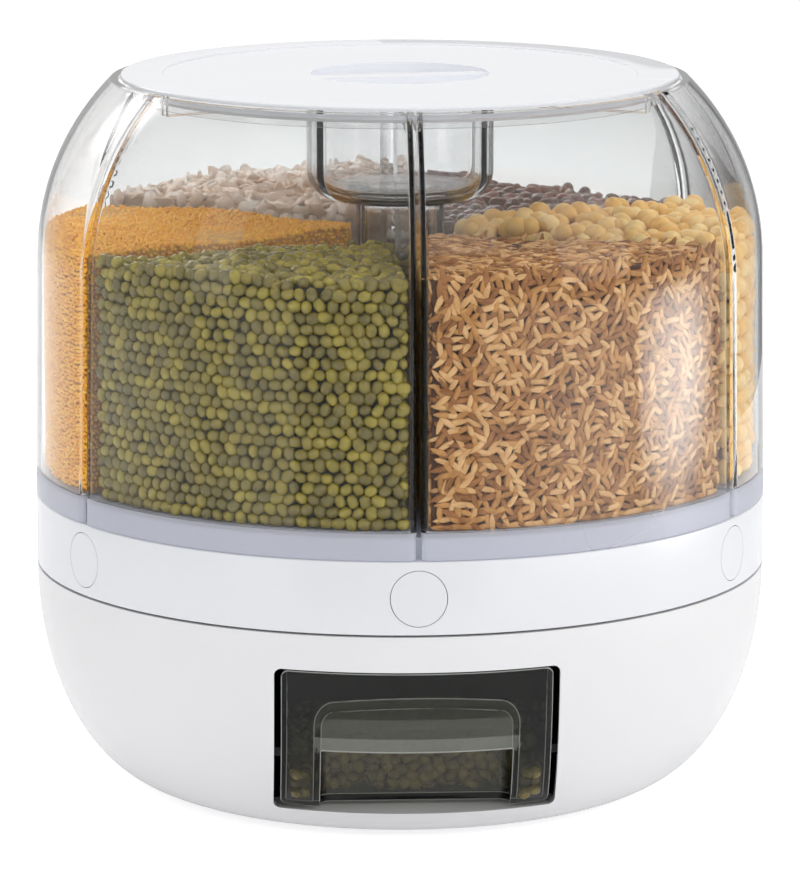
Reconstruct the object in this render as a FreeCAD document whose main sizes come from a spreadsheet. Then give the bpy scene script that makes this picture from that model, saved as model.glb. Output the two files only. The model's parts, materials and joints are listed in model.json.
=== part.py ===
import FreeCAD, Part
import math
import os
from types import SimpleNamespace

import Sketcher
from FreeCAD import Placement, Rotation, Vector

# A round food dispenser: six clear wedge bins stand on a turntable that turns on a white
# bowl-shaped base. A button under each bin opens its gate, and the food drops into a drawer.
# Origin: centre of the footprint on the floor. +Z up, the drawer faces -Y. Millimetres.

SIZES = {
    # outside form
    "body_radius": 155,
    "bottom_radius": 103,
    "foot_proud": 2,
    "base_height": 92.6,
    "seam_gap": 0.8,
    "ring_height": 30,
    "barrel_gap": 0.5,
    "barrel_height": 98.1,
    "barrel_taper": 1.5,
    "shoulder_radius": 107,
    "shoulder_height": 76.1,
    # walls
    "base_wall": 3,
    "cover_thickness": 2.6,
    "cover_inset": 5,
    "cover_lip": 14,
    "ring_wall": 3,
    "ring_edge": 0.8,
    "tray_rise": 8.9,
    "tray_thickness": 2.5,
    "riser_inset": 5.1,
    "bin_wall": 2.2,
    "bin_floor": 2.5,
    "bin_gap": 0.9,
    "bin_corner": 3.4,
    # fits
    "part_clearance": 0.3,
    "pin_clearance": 0.05,
    # deck and bearing
    "deck_drop": 3,
    "deck_thickness": 3,
    "deck_clearance": 0.6,
    "deck_boss_radius": 14,
    "deck_boss_depth": 10.6,
    "bearing_gap": 6.8,
    "ball_diameter": 8,
    "ball_inset": 67,
    "cage_band": 12,
    "cage_thickness": 2,
    "spindle_radius": 5,
    "spindle_head": 9,
    "spindle_head_height": 2.5,
    "spindle_hole_depth": 12,
    "bush_wall": 3,
    "bush_flange": 3,
    "bush_flange_height": 1.2,
    "hub_wall": 4,
    "hub_height": 19.6,
    "hub_overlap": 10,
    "washer_thickness": 1.5,
    "washer_overhang": 5,
    # gates
    "gate_plate_inset": 19.5,
    "gate_plate_thickness": 3,
    "outlet_width": 28,
    "outlet_length": 10,
    "outlet_inset": 54,
    "outlet_side": 8,
    "outlet_corner": 1.4,
    "chute_wall": 1.3,
    "chute_drop": 4,
    "slider_thickness": 2.5,
    "slider_edge": 4,
    "slider_right": 9,
    "window_land": 1,
    "window_length": 10.2,
    "slide_clearance": 0.35,
    "neck_width": 14,
    "stem_length": 1.5,
    "stop_thickness": 3,
    "stop_height": 8,
    "spring_radius": 3.9,
    "spring_wire": 1,
    "post_gap": 2,
    "post_thickness": 2.5,
    "post_width": 7,
    "rail_thickness": 2,
    "rail_height": 11,
    "rail_lead": 20,
    "button_radius": 11.3,
    "button_depth": 8,
    "button_face": 2.4,
    "button_wall": 2,
    "stem_radius": 4,
    "guide_wall": 1.8,
    "guide_length": 14,
    # screws
    "screw_radius": 1.5,
    "screw_head_radius": 3.4,
    "screw_head_height": 2,
    "screw_length": 10,
    "cover_screw_length": 8,
    "screw_clearance": 0.15,
    "boss_radius": 5,
    "gate_screw_inset": 25,
    "deck_screw_inset": 8,
    "deck_boss_height": 26,
    "cover_screw_inset": 7,
    "cover_sink": 1.2,
    # column
    "stem_outer": 16,
    "stem_wall": 2,
    "spigot_depth": 8,
    "cup_radius": 36.7,
    "cup_wall": 2,
    "cup_base": 252,
    "cup_top": 292,
    "cup_corner": 9,
    "cup_fillet": 8,
    "column_gap": 1,
    # lid
    "lid_inset": 4.2,
    "lid_thickness": 1.6,
    "lid_edge": 0.8,
    "lid_step": 0.5,
    "lid_step_inset": 17.5,
    "dish_radius": 37.5,
    "dish_depth": 6.5,
    "dish_corner": 3.2,
    "dish_wall": 2,
    "grip_width": 10,
    "grip_drop": 0.8,
    "skirt_inset": 9.7,
    "skirt_wall": 1.6,
    "skirt_depth": 7.9,
    "seal_depth": 3,
    "seal_reach": 1.6,
    "notch_gap": 0.5,
    "divider_drop": 9,
    # drawer
    "opening_half": 57.5,
    "opening_low": 15,
    "opening_high": 80,
    "drawer_half": 54.75,
    "drawer_low": 17,
    "drawer_high": 79.2,
    "drawer_back": 26,
    "drawer_wall": 2.4,
    "drawer_inset": 1,
    "drawer_corner": 3,
    "drawer_inner_corner": 1,
    "sleeve_wall": 2,
    "sleeve_gap": 4,
    "sleeve_screw_side": 50,
    "sleeve_screw_inset": 30,
    "sleeve_screw_back": 45,
    "runner_half": 30,
    "runner_width": 3,
    "guide_low": 40,
    "guide_height": 4,
    "ledge_depth": 54,
    "ledge_thickness": 2.5,
    "drop_margin": 4,
    "recess_half": 38.7,
    "recess_depth": 39,
    "recess_high": 44.6,
    "hood_bend": 48,
    "hood_inset": 4,
    "hood_high": 65.5,
    "hood_round": 5,
    # feet
    "foot_radius": 11,
    "foot_height": 3,
    "foot_inset": 24,
    "foot_edge": 0.8,
}

SECTORS = 6
SECTOR = 360 / SECTORS
BALLS = 12
COVER_SCREWS = 4
FEET = 4
DECK_SCREWS = 6
GRIP_TURN = 10              # degrees that the lid's grip stands off the X axis
FIRST_FOOT = 45             # degrees round from the X axis
FIRST_GATE_SCREW = -126     # the same; it stands left of the first outlet
OVER = 5                    # how far a cutting solid runs past what it cuts


class Size:
    """A length and its sheet formula, so that sums of sizes stay bound to the sheet."""

    def __init__(self, formula, number):
        self.formula, self.number = formula, float(number)

    def __add__(self, other):
        return Size(f"({self.formula} + {words(other)})", self.number + plain(other))

    def __sub__(self, other):
        return Size(f"({self.formula} - {words(other)})", self.number - plain(other))

    def __mul__(self, other):
        return Size(f"({self.formula} * {words(other)})", self.number * plain(other))

    def __truediv__(self, other):
        return Size(f"({self.formula} / {words(other)})", self.number / plain(other))

    def __rsub__(self, other):
        return Size(f"({words(other)} - {self.formula})", plain(other) - self.number)

    def __neg__(self):
        return Size(f"(0 - {self.formula})", -self.number)

    __radd__ = __add__
    __rmul__ = __mul__


def plain(size):
    return size.number if isinstance(size, Size) else float(size)


def words(size):
    return size.formula if isinstance(size, Size) else f"({float(size)!r})"


def root(size):
    return Size(f"sqrt({size.formula})", math.sqrt(size.number))


def bind(thing, field, size):
    """Give a field of an object its length, by formula."""
    thing.setExpression(field, words(size))


doc = FreeCAD.newDocument("rotating_food_dispenser")
sheet = doc.addObject("Spreadsheet::Sheet", "Sizes")
for row, (alias, length) in enumerate(SIZES.items(), 1):
    sheet.set(f"A{row}", alias)
    sheet.set(f"B{row}", str(length))
    sheet.setAlias(f"B{row}", alias)
doc.recompute()
s = SimpleNamespace(**{alias: Size(f"Sizes.{alias}", SIZES[alias]) for alias in SIZES})


# How sketches are drawn: corners in order, each fixed by its two coordinates.

def arc_between(start, end, radius, side):
    """Arc from start to end. Side 1 has its centre on the left of the way, -1 on the right."""
    chord = end - start
    height = math.sqrt(max(radius ** 2 - chord.Length ** 2 / 4, 0))
    centre = (start + end) / 2 + Vector(-chord.y, chord.x, 0).normalize() * height * side
    ends = [math.atan2(p.y - centre.y, p.x - centre.x) for p in (start, end)]
    circle = Part.Circle(centre, Vector(0, 0, 1), radius)
    return Part.ArcOfCircle(circle, *(ends if side > 0 else reversed(ends)))


def quarter_between(start, end, centre):
    """Quarter of an ellipse round a centre, between its lowest and its widest point."""
    foot, side = (start, end) if abs(start.x - centre.x) < abs(end.x - centre.x) else (end, start)
    top = centre * 2 - foot
    if (top - centre).Length > (side - centre).Length:
        ellipse = Part.Ellipse(top, centre * 2 - side, centre)
        return Part.ArcOfEllipse(ellipse, math.pi, math.pi * 1.5), "Vertical"
    ellipse = Part.Ellipse(side, top, centre)
    return Part.ArcOfEllipse(ellipse, math.pi * 1.5, math.pi * 2), "Horizontal"


def hold(sketch, geometry, vertex, x, y):
    """Fix one point of a sketch at its two coordinates."""
    for kind, axis, place in (("DistanceX", -2, x), ("DistanceY", -1, y)):
        if plain(place) == 0:
            sketch.addConstraint(Sketcher.Constraint("PointOnObject", geometry, vertex, axis))
        else:
            index = sketch.addConstraint(
                Sketcher.Constraint(kind, -1, 1, geometry, vertex, plain(place)))
            sketch.setExpression(f"Constraints[{index}]", words(place))


def draw(sketch, corners):
    """Close a chain of corners (x, y). A third item bends the way on to the next corner:
    ("arc", radius, side) or ("quarter", centre_x, centre_y)."""
    runs = []
    for corner, following in zip(corners, corners[1:] + corners[:1]):
        start = Vector(plain(corner[0]), plain(corner[1]), 0)
        end = Vector(plain(following[0]), plain(following[1]), 0)
        bend = corner[2] if len(corner) > 2 else None
        if bend is None:
            geometry = Part.LineSegment(start, end)
        elif bend[0] == "arc":
            geometry = arc_between(start, end, plain(bend[1]), bend[2])
        else:
            centre = Vector(plain(bend[1]), plain(bend[2]), 0)
            geometry, long_way = quarter_between(start, end, centre)
        index = sketch.addGeometry(geometry)
        forward = (geometry.StartPoint - start).Length < (geometry.EndPoint - start).Length
        runs.append((index, (1, 2) if forward else (2, 1), bend))
        if bend and bend[0] == "arc":
            limit = sketch.addConstraint(
                Sketcher.Constraint("Radius", index, plain(bend[1])))
            sketch.setExpression(f"Constraints[{limit}]", words(bend[1]))
        elif bend:
            first = sketch.GeometryCount
            sketch.exposeInternalGeometry(index)
            hold(sketch, index, 3, bend[1], bend[2])
            sketch.addConstraint(Sketcher.Constraint(long_way, first))
    for corner, (index, ends, bend), (following, others, _) in zip(
            corners, runs, runs[1:] + runs[:1]):
        sketch.addConstraint(
            Sketcher.Constraint("Coincident", index, ends[1], following, others[0]))
        hold(sketch, index, ends[0], corner[0], corner[1])


def draw_circle(sketch, x, y, radius):
    circle = Part.Circle(Vector(plain(x), plain(y), 0), Vector(0, 0, 1), plain(radius))
    index = sketch.addGeometry(circle)
    hold(sketch, index, 3, x, y)
    limit = sketch.addConstraint(Sketcher.Constraint("Radius", index, plain(radius)))
    sketch.setExpression(f"Constraints[{limit}]", words(radius))


def box_corners(x0, y0, x1, y1):
    return [(x0, y0), (x1, y0), (x1, y1), (x0, y1)]


def draw_all(sketch, shapes):
    """Shapes are corner lists, or (x, y, radius) for a circle."""
    for shape in shapes:
        if isinstance(shape, tuple):
            draw_circle(sketch, *shape)
        else:
            draw(sketch, shape)


# How bodies are built from sketches.

def new_body(name):
    body = doc.addObject("PartDesign::Body", name)
    body.Label = name
    return body


def plane_of(body, role):
    return next(item for item in body.Origin.OriginFeatures if item.Role == role)


def sketch_on(body, role, shapes, offset=0):
    sketch = body.newObject("Sketcher::SketchObject", f"{body.Name}_outline")
    sketch.AttachmentSupport = [(plane_of(body, role), "")]
    sketch.MapMode = "FlatFace"
    if plain(offset):
        bind(sketch, ".AttachmentOffset.Base.z", offset)
    draw_all(sketch, shapes)
    return sketch


def turned(body, corners, cut=False, angle=360):
    """Revolve an (r, z) outline about Z, or cut it away."""
    sketch = sketch_on(body, "XZ_Plane", [corners])
    kind = "Groove" if cut else "Revolution"
    feature = body.newObject(f"PartDesign::{kind}", f"{body.Name}_{kind.lower()}")
    feature.Profile = sketch
    feature.ReferenceAxis = (sketch, ["V_Axis"])
    feature.Angle = angle
    return feature


def raised(body, shapes, low, height, role="XY_Plane"):
    """Pad shapes from a level, up along the plane's normal."""
    pad = body.newObject("PartDesign::Pad", f"{body.Name}_pad")
    pad.Profile = sketch_on(body, role, shapes, low)
    bind(pad, "Length", height)
    return pad


def sunk(body, shapes, top, depth, role="XY_Plane", along=False):
    """Pocket shapes from a level, against the plane's normal or along it."""
    pocket = body.newObject("PartDesign::Pocket", f"{body.Name}_pocket")
    pocket.Profile = sketch_on(body, role, shapes, top)
    pocket.Reversed = along
    bind(pocket, "Length", depth)
    return pocket


def repeated(body, features, count):
    """Copy features evenly round the Z axis."""
    pattern = body.newObject("PartDesign::PolarPattern", f"{body.Name}_pattern")
    pattern.Originals = features
    pattern.Axis = (plane_of(body, "Z_Axis"), [""])
    pattern.Angle = 360
    pattern.Occurrences = count
    body.Tip = pattern
    return pattern


def rounded(body, base, radius, chosen):
    """Fillet the edges of a feature that a test picks."""
    doc.recompute()
    names = [f"Edge{n}" for n, edge in enumerate(base.Shape.Edges, 1) if chosen(edge)]
    fillet = body.newObject("PartDesign::Fillet", f"{body.Name}_fillet")
    fillet.Base = (base, names)
    bind(fillet, "Radius", radius)
    return fillet


def turn_about_z(thing, degrees):
    thing.Placement = Placement(Vector(), Rotation(Vector(0, 0, 1), degrees))


# How plain solids and booleans are built where a body's features don't fit.

def free_sketch(name, shapes, rotation):
    sketch = doc.addObject("Sketcher::SketchObject", f"{name}_outline")
    sketch.Placement = Placement(Vector(), rotation)
    draw_all(sketch, shapes)
    return sketch


def spun(name, corners):
    """Full turn of an (r, z) outline about Z."""
    part = doc.addObject("Part::Revolution", name)
    part.Source = free_sketch(name, [corners], Rotation(Vector(1, 0, 0), 90))
    part.Axis = Vector(0, 0, 1)
    part.Angle = 360
    part.Solid = True
    return part


def prism(name, corners, low, height):
    """Upright prism over an (x, y) outline."""
    part = doc.addObject("Part::Extrusion", name)
    part.Base = free_sketch(name, [corners], Rotation())
    bind(part.Base, ".Placement.Base.z", low)
    part.DirMode = "Custom"
    part.Dir = Vector(0, 0, 1)
    bind(part, "LengthFwd", height)
    part.Solid = True
    return part


def fronted(name, corners, back, length):
    """Prism towards the front over an (x, z) outline, from a distance off the axis."""
    part = doc.addObject("Part::Extrusion", name)
    part.Base = free_sketch(name, [corners], Rotation(Vector(1, 0, 0), 90))
    bind(part.Base, ".Placement.Base.y", -back)
    part.DirMode = "Custom"
    part.Dir = Vector(0, -1, 0)
    bind(part, "LengthFwd", length)
    part.Solid = True
    return part


def block(name, low, high):
    """Box between two corners."""
    part = doc.addObject("Part::Box", name)
    for axis, field, start, end in zip("xyz", ("Length", "Width", "Height"), low, high):
        bind(part, f".Placement.Base.{axis}", start)
        bind(part, field, end - start)
    return part


def joined(kind, name, *parts):
    """Part::Cut, Part::Common or Part::Fuse of two solids."""
    result = doc.addObject(f"Part::{kind}", name)
    result.Base, result.Tool = parts
    return result


# Radii that follow the body, the bottom and the barrel's rim.

shoulder_centre = s.body_radius - s.barrel_taper - s.shoulder_radius
rim_radius = shoulder_centre + root(s.shoulder_radius * s.shoulder_radius
                                    - s.shoulder_height * s.shoulder_height)
deck_screw_circle = s.body_radius - s.deck_screw_inset
outlet_inner = s.body_radius - s.outlet_inset
gate_plate_radius = s.body_radius - s.gate_plate_inset
gate_screw_circle = s.body_radius - s.gate_screw_inset
ball_circle = s.body_radius - s.ball_inset
neck_reach = s.body_radius - s.button_depth - s.stem_length
recess_back = s.body_radius - s.recess_depth
hood_front = s.body_radius - s.hood_inset
ledge_back = s.body_radius - s.ledge_depth
sleeve_screw_front = s.body_radius - s.sleeve_screw_inset
cover_radius = s.bottom_radius - s.cover_inset
cover_screw_circle = cover_radius - s.cover_screw_inset
foot_circle = cover_radius - s.foot_inset
lid_radius = rim_radius - s.lid_inset
skirt_radius = rim_radius - s.skirt_inset
lid_step_radius = lid_radius - s.lid_step_inset

# Levels and radii that several pieces share.

rim = s.foot_proud + s.base_height
ring_low = rim + s.seam_gap
ring_top = ring_low + s.ring_height
tray_top = ring_top + s.tray_rise
tray_low = tray_top - s.tray_thickness
barrel_low = ring_top + s.barrel_gap
shoulder_low = barrel_low + s.barrel_height
bin_top = shoulder_low + s.shoulder_height
bin_floor_top = tray_top + s.bin_floor
lid_low = bin_top + s.part_clearance
lid_high = lid_low + s.lid_thickness
lid_face = lid_high - s.lid_step

deck_top = rim - s.deck_drop
deck_low = deck_top - s.deck_thickness
gate_low = deck_top + s.bearing_gap
gate_top = gate_low + s.gate_plate_thickness
hub_top = gate_low + s.hub_height
spindle_top = hub_top + s.part_clearance
boss_low = deck_low - s.deck_boss_depth
bush_bore = s.spindle_radius + s.pin_clearance
bush_radius = bush_bore + s.bush_wall
hub_bore = bush_radius + s.pin_clearance
hub_radius = hub_bore + s.hub_wall
tray_bore = hub_radius + s.part_clearance
riser = s.body_radius - s.riser_inset

button_level = ring_low + s.ring_height / 2
slider_low = button_level - s.slider_thickness / 2
slider_top = slider_low + s.slider_thickness
chute_top = slider_low - s.slide_clearance
outlet_outer = outlet_inner + s.outlet_length
window_inner = outlet_outer + s.window_land
window_outer = window_inner + s.window_length
slider_left = s.outlet_side + s.outlet_width + s.slider_edge
slider_outer = window_outer + s.slider_edge
stop_inner = neck_reach - s.stop_thickness
spring_slot_inner = window_inner + s.post_gap
post_inner = spring_slot_inner + s.post_gap
post_outer = post_inner + s.post_thickness
spring_slot_half = s.spring_radius + s.part_clearance * 3

sleeve_top = s.opening_high + s.part_clearance
sleeve_high = sleeve_top + s.sleeve_wall
sleeve_back = s.drawer_back - s.sleeve_gap
cover_top = s.foot_proud + s.cover_thickness
lip_low = cover_top + s.part_clearance
lip_high = lip_low + s.base_wall
screw_hole = s.screw_radius + s.screw_clearance


def round_about(circle, degrees):
    """The (x, y) place on a circle at an angle from the X axis."""
    return circle * math.cos(math.radians(degrees)), circle * math.sin(math.radians(degrees))


def evenly(circle, count, first):
    return [round_about(circle, first + 360 / count * turn) for turn in range(count)]


def soft_box(x0, y0, x1, y1, radius):
    """Rectangle with round corners, drawn anticlockwise."""
    bend = ("arc", radius, 1)
    return [(x0 + radius, y0), (x1 - radius, y0, bend), (x1, y0 + radius), (x1, y1 - radius, bend),
            (x1 - radius, y1), (x0 + radius, y1, bend), (x0, y1 - radius), (x0, y0 + radius, bend)]


def outlet(margin):
    """Footprint of a food outlet, left of the front button, grown by a margin."""
    return soft_box(-(s.outlet_side + s.outlet_width) - margin, -outlet_outer - margin,
                    -s.outlet_side + margin, -outlet_inner + margin, s.outlet_corner + margin)


def cylinders(name, places, radius, low, height):
    """Upright rods at several places, as one object."""
    rods = []
    for x, y in places:
        rod = doc.addObject("Part::Cylinder", f"{name}_rod")
        bind(rod, "Radius", radius)
        bind(rod, "Height", height)
        for axis, place in (("x", x), ("y", y), ("z", low)):
            bind(rod, f".Placement.Base.{axis}", place)
        rods.append(rod)
    group = doc.addObject("Part::Compound", name)
    group.Links = rods
    return group


NODES = []


def finished(node, name):
    node.Label = name
    NODES.append(node)
    return node


def screws(name, places, seat, length, upward=False):
    """A group of like pan-head screws whose heads bear on a level from above, or from below."""
    way = -1 if upward else 1
    profile = [(0, seat - length * way), (s.screw_radius, seat - length * way),
               (s.screw_radius, seat), (s.screw_head_radius, seat),
               (s.screw_head_radius, seat + s.screw_head_height * way),
               (0, seat + s.screw_head_height * way)]
    sketch = free_sketch(name, [profile], Rotation(Vector(1, 0, 0), 90))
    parts = []
    for x, y in places:
        screw = doc.addObject("Part::Revolution", f"{name}_one")
        screw.Source = sketch
        screw.Axis = Vector(0, 0, 1)
        screw.Angle = 360
        screw.Solid = True
        bind(screw, ".Placement.Base.x", x)
        bind(screw, ".Placement.Base.y", y)
        parts.append(screw)
    group = doc.addObject("Part::Compound", name)
    group.Links = parts
    return finished(group, name)


# The base: a white bowl, its bottom cover and feet.

def bowl_solid(name, inset, low):
    """The bowl's outer form, filled, drawn in by an inset and standing on a level."""
    wide = s.body_radius - inset
    return spun(name, [(0, low), (s.bottom_radius, low, ("quarter", s.bottom_radius, rim)),
                       (wide, rim), (0, rim)])


DECK_SCREW_PLACES = evenly(deck_screw_circle, DECK_SCREWS, 0)
SLEEVE_SCREW_PLACES = [(side * s.sleeve_screw_side, -reach)
                       for side in (-1, 1) for reach in (sleeve_screw_front, s.sleeve_screw_back)]
COVER_SCREW_PLACES = evenly(cover_screw_circle, COVER_SCREWS, 0)
GATE_SCREW_PLACES = evenly(gate_screw_circle, SECTORS, FIRST_GATE_SCREW)
FOOT_PLACES = evenly(foot_circle, FEET, FIRST_FOOT)


def base_shell():
    """Bowl-shaped outer shell with the drawer's mouth, a landing ledge and six deck bosses."""
    inner_low = cover_radius - s.cover_lip
    recess = cover_radius + s.part_clearance
    wall = spun("bowl_wall", [
        (inner_low, lip_low), (recess, lip_low), (recess, s.foot_proud),
        (s.bottom_radius, s.foot_proud, ("quarter", s.bottom_radius, rim)),
        (s.body_radius, rim), (s.body_radius - s.base_wall, rim, ("quarter", s.bottom_radius, rim)),
        (s.bottom_radius, lip_high), (inner_low, lip_high)])
    ledge = block("landing_ledge", (-s.opening_half, -s.body_radius, s.opening_low - s.ledge_thickness),
                  (s.opening_half, -ledge_back, s.opening_low))
    bosses = cylinders("deck_bosses", DECK_SCREW_PLACES, s.boss_radius,
                       deck_low - s.deck_boss_height, s.deck_boss_height)
    middle = s.base_wall / 2
    within = bowl_solid("bowl_middle", middle, s.foot_proud + middle)
    inside = joined("Common", "inside_features", joined("Fuse", "ledge_and_bosses", ledge, bosses), within)
    full = joined("Fuse", "bowl_full", wall, inside)
    mouth = fronted("drawer_mouth", soft_box(-s.opening_half, s.opening_low, s.opening_half,
                                             s.opening_high, s.drawer_corner), ledge_back,
                    s.body_radius - ledge_back)
    deck_holes = cylinders("deck_screw_holes", DECK_SCREW_PLACES, screw_hole,
                           deck_low - s.screw_length, s.screw_length)
    cover_holes = cylinders("cover_screw_holes", COVER_SCREW_PLACES, screw_hole, s.foot_proud, lip_high)
    opened = joined("Cut", "bowl_opened", full, mouth)
    drilled = joined("Cut", "bowl_drilled", opened, joined("Fuse", "bowl_drills", deck_holes, cover_holes))
    return finished(drilled, "base_shell")


def bottom_cover():
    """Round plate that closes the bowl from below, with seats for four feet."""
    body = new_body("bottom_cover")
    turned(body, [(0, s.foot_proud), (cover_radius, s.foot_proud), (cover_radius, cover_top),
                  (0, cover_top)])
    seats = [(x, y, s.foot_radius + s.part_clearance) for x, y in FOOT_PLACES]
    sunk(body, seats, s.foot_proud, s.foot_height - s.foot_proud, along=True)
    sunk(body, [(x, y, s.screw_head_radius + s.part_clearance) for x, y in COVER_SCREW_PLACES],
         s.foot_proud, s.cover_sink, along=True)
    sunk(body, [(x, y, screw_hole) for x, y in COVER_SCREW_PLACES], cover_top, s.cover_thickness)
    return finished(body, "bottom_cover")


def rubber_foot(number, place):
    """Round rubber foot with a soft lower edge."""
    body = new_body(f"rubber_foot_{number}")
    edge = s.foot_edge
    turned(body, [(0, 0), (s.foot_radius - edge, 0, ("arc", edge, 1)), (s.foot_radius, edge),
                  (s.foot_radius, s.foot_height), (0, s.foot_height)])
    bind(body, ".Placement.Base.x", place[0])
    bind(body, ".Placement.Base.y", place[1])
    return finished(body, body.Name)


def ball_groove(level, way):
    """Corners of a shallow ball track in a flat face, on the outward way (1) or the inward (-1)."""
    track = s.ball_diameter / 2 + s.part_clearance
    half = root(track * track - s.bearing_gap * s.bearing_gap / 4)
    return [(ball_circle - half * way, level, ("arc", track, -1)), (ball_circle + half * way, level)]


def drop_chute(margin):
    """Footprint of the fixed chute over the drawer, grown by a margin."""
    return box_corners(-(s.outlet_side + s.outlet_width + s.drop_margin) - margin,
                       -outlet_outer - s.drop_margin - margin,
                       -s.outlet_side + s.drop_margin + margin,
                       -outlet_inner + s.drop_margin + margin)


def deck_plate():
    """Fixed deck across the bowl: ball track, spindle boss and the chute over the drawer."""
    body = new_body("deck_plate")
    edge = s.body_radius - s.base_wall - s.deck_clearance
    turned(body, [(bush_bore, boss_low), (s.deck_boss_radius, boss_low), (s.deck_boss_radius, deck_low),
                  (edge, deck_low), (edge, deck_top), *ball_groove(deck_top, -1),
                  (bush_bore, deck_top)])
    chute_low = sleeve_high + s.part_clearance * 2
    raised(body, [drop_chute(s.chute_wall)], chute_low, deck_low - chute_low)
    sunk(body, [drop_chute(0)], deck_top, deck_top - chute_low)
    sunk(body, [(x, y, screw_hole) for x, y in DECK_SCREW_PLACES + SLEEVE_SCREW_PLACES],
         deck_top, s.deck_thickness)
    return finished(body, "deck_plate")


def drawer_sleeve():
    """Dark tunnel that the drawer runs in, hung under the deck on four posts."""
    outer_half = s.opening_half + s.sleeve_wall
    front, back = -s.body_radius, -sleeve_back
    outer = block("sleeve_outer", (-outer_half, front, s.opening_low - s.sleeve_wall),
                  (outer_half, back + s.sleeve_wall, sleeve_high))
    inner = block("sleeve_inner", (-s.opening_half, front, s.opening_low),
                  (s.opening_half, back, sleeve_top))
    past_ledge = block("sleeve_past_ledge",
                       (-s.opening_half - s.part_clearance, front, s.opening_low - s.sleeve_wall * 2),
                       (s.opening_half + s.part_clearance, -ledge_back + s.part_clearance,
                        s.opening_low))
    hollow = joined("Fuse", "sleeve_hollow", inner, past_ledge)
    tunnel = joined("Cut", "sleeve_tunnel", outer, hollow)
    runner_top = s.drawer_low - s.part_clearance
    guide_inner = s.drawer_half + s.part_clearance
    ribs = [block("runner", (side * s.runner_half - s.runner_width / 2, -ledge_back + s.part_clearance,
                             s.opening_low), (side * s.runner_half + s.runner_width / 2, back, runner_top))
            for side in (-1, 1)]
    ribs += [block("side_guide", (-s.opening_half, front, s.guide_low),
                   (-guide_inner, back, s.guide_low + s.guide_height)),
             block("side_guide", (guide_inner, front, s.guide_low),
                   (s.opening_half, back, s.guide_low + s.guide_height))]
    posts = cylinders("sleeve_posts", SLEEVE_SCREW_PLACES, s.boss_radius, sleeve_top, deck_low - sleeve_top)
    full = doc.addObject("Part::MultiFuse", "sleeve_full")
    full.Shapes = [tunnel, *ribs, posts]
    within = joined("Common", "sleeve_within", full,
                    bowl_solid("bowl_inside", s.base_wall + s.part_clearance,
                               lip_high + s.part_clearance))
    holes = cylinders("sleeve_screw_holes", SLEEVE_SCREW_PLACES, screw_hole, sleeve_top,
                      deck_low - sleeve_top)
    mouth = prism("sleeve_mouth", drop_chute(s.chute_wall + s.part_clearance),
                  sleeve_top - OVER, s.sleeve_wall + OVER * 2)
    cut = joined("Cut", "sleeve_cut", within, joined("Fuse", "sleeve_cuts", holes, mouth))
    return finished(cut, "drawer_sleeve")


# The turning joint: spindle, bush and ball race.

def spindle():
    """Steel shoulder pin, up through the deck's boss, that the turntable turns on."""
    body = new_body("spindle")
    head_low = boss_low - s.spindle_head_height
    turned(body, [(0, head_low), (s.spindle_head, head_low), (s.spindle_head, boss_low),
                  (s.spindle_radius, boss_low), (s.spindle_radius, spindle_top),
                  (screw_hole, spindle_top), (screw_hole, spindle_top - s.spindle_hole_depth),
                  (0, spindle_top - s.spindle_hole_depth)])
    return finished(body, "spindle")


def spindle_washer():
    """Washer on the spindle's end that keeps the turntable down."""
    body = new_body("spindle_washer")
    outer = s.spindle_radius + s.washer_overhang
    turned(body, [(screw_hole, spindle_top), (outer, spindle_top),
                  (outer, spindle_top + s.washer_thickness),
                  (screw_hole, spindle_top + s.washer_thickness)])
    return finished(body, "spindle_washer")


def hub_bush():
    """Flanged plastic bush, pressed into the gate plate's hub."""
    body = new_body("hub_bush")
    flange = bush_radius + s.bush_flange
    flange_low = gate_low - s.bush_flange_height
    turned(body, [(bush_bore, flange_low), (flange, flange_low), (flange, gate_low),
                  (bush_radius, gate_low), (bush_radius, hub_top), (bush_bore, hub_top)])
    return finished(body, "hub_bush")


def ball_cage():
    """Flat ring that keeps the balls apart."""
    body = new_body("ball_cage")
    middle = deck_top + s.bearing_gap / 2
    low, high = middle - s.cage_thickness / 2, middle + s.cage_thickness / 2
    inner, outer = ball_circle - s.cage_band / 2, ball_circle + s.cage_band / 2
    turned(body, [(inner, low), (outer, low), (outer, high), (inner, high)])
    hole = sunk(body, [(0, -ball_circle, s.ball_diameter / 2 + s.part_clearance)], high, s.cage_thickness)
    repeated(body, [hole], BALLS)
    return finished(body, "ball_cage")


def bearing_balls():
    """The balls of the race, as one group."""
    balls = []
    for x, y in evenly(ball_circle, BALLS, -90):
        ball = doc.addObject("Part::Sphere", "ball")
        bind(ball, "Radius", s.ball_diameter / 2)
        bind(ball, ".Placement.Base.x", x)
        bind(ball, ".Placement.Base.y", y)
        bind(ball, ".Placement.Base.z", deck_top + s.bearing_gap / 2)
        balls.append(ball)
    group = doc.addObject("Part::Compound", "bearing_balls")
    group.Links = balls
    return finished(group, "bearing_balls")


# The turntable: the ring with its button guides, the tray, and the gate plate under it.

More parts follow.
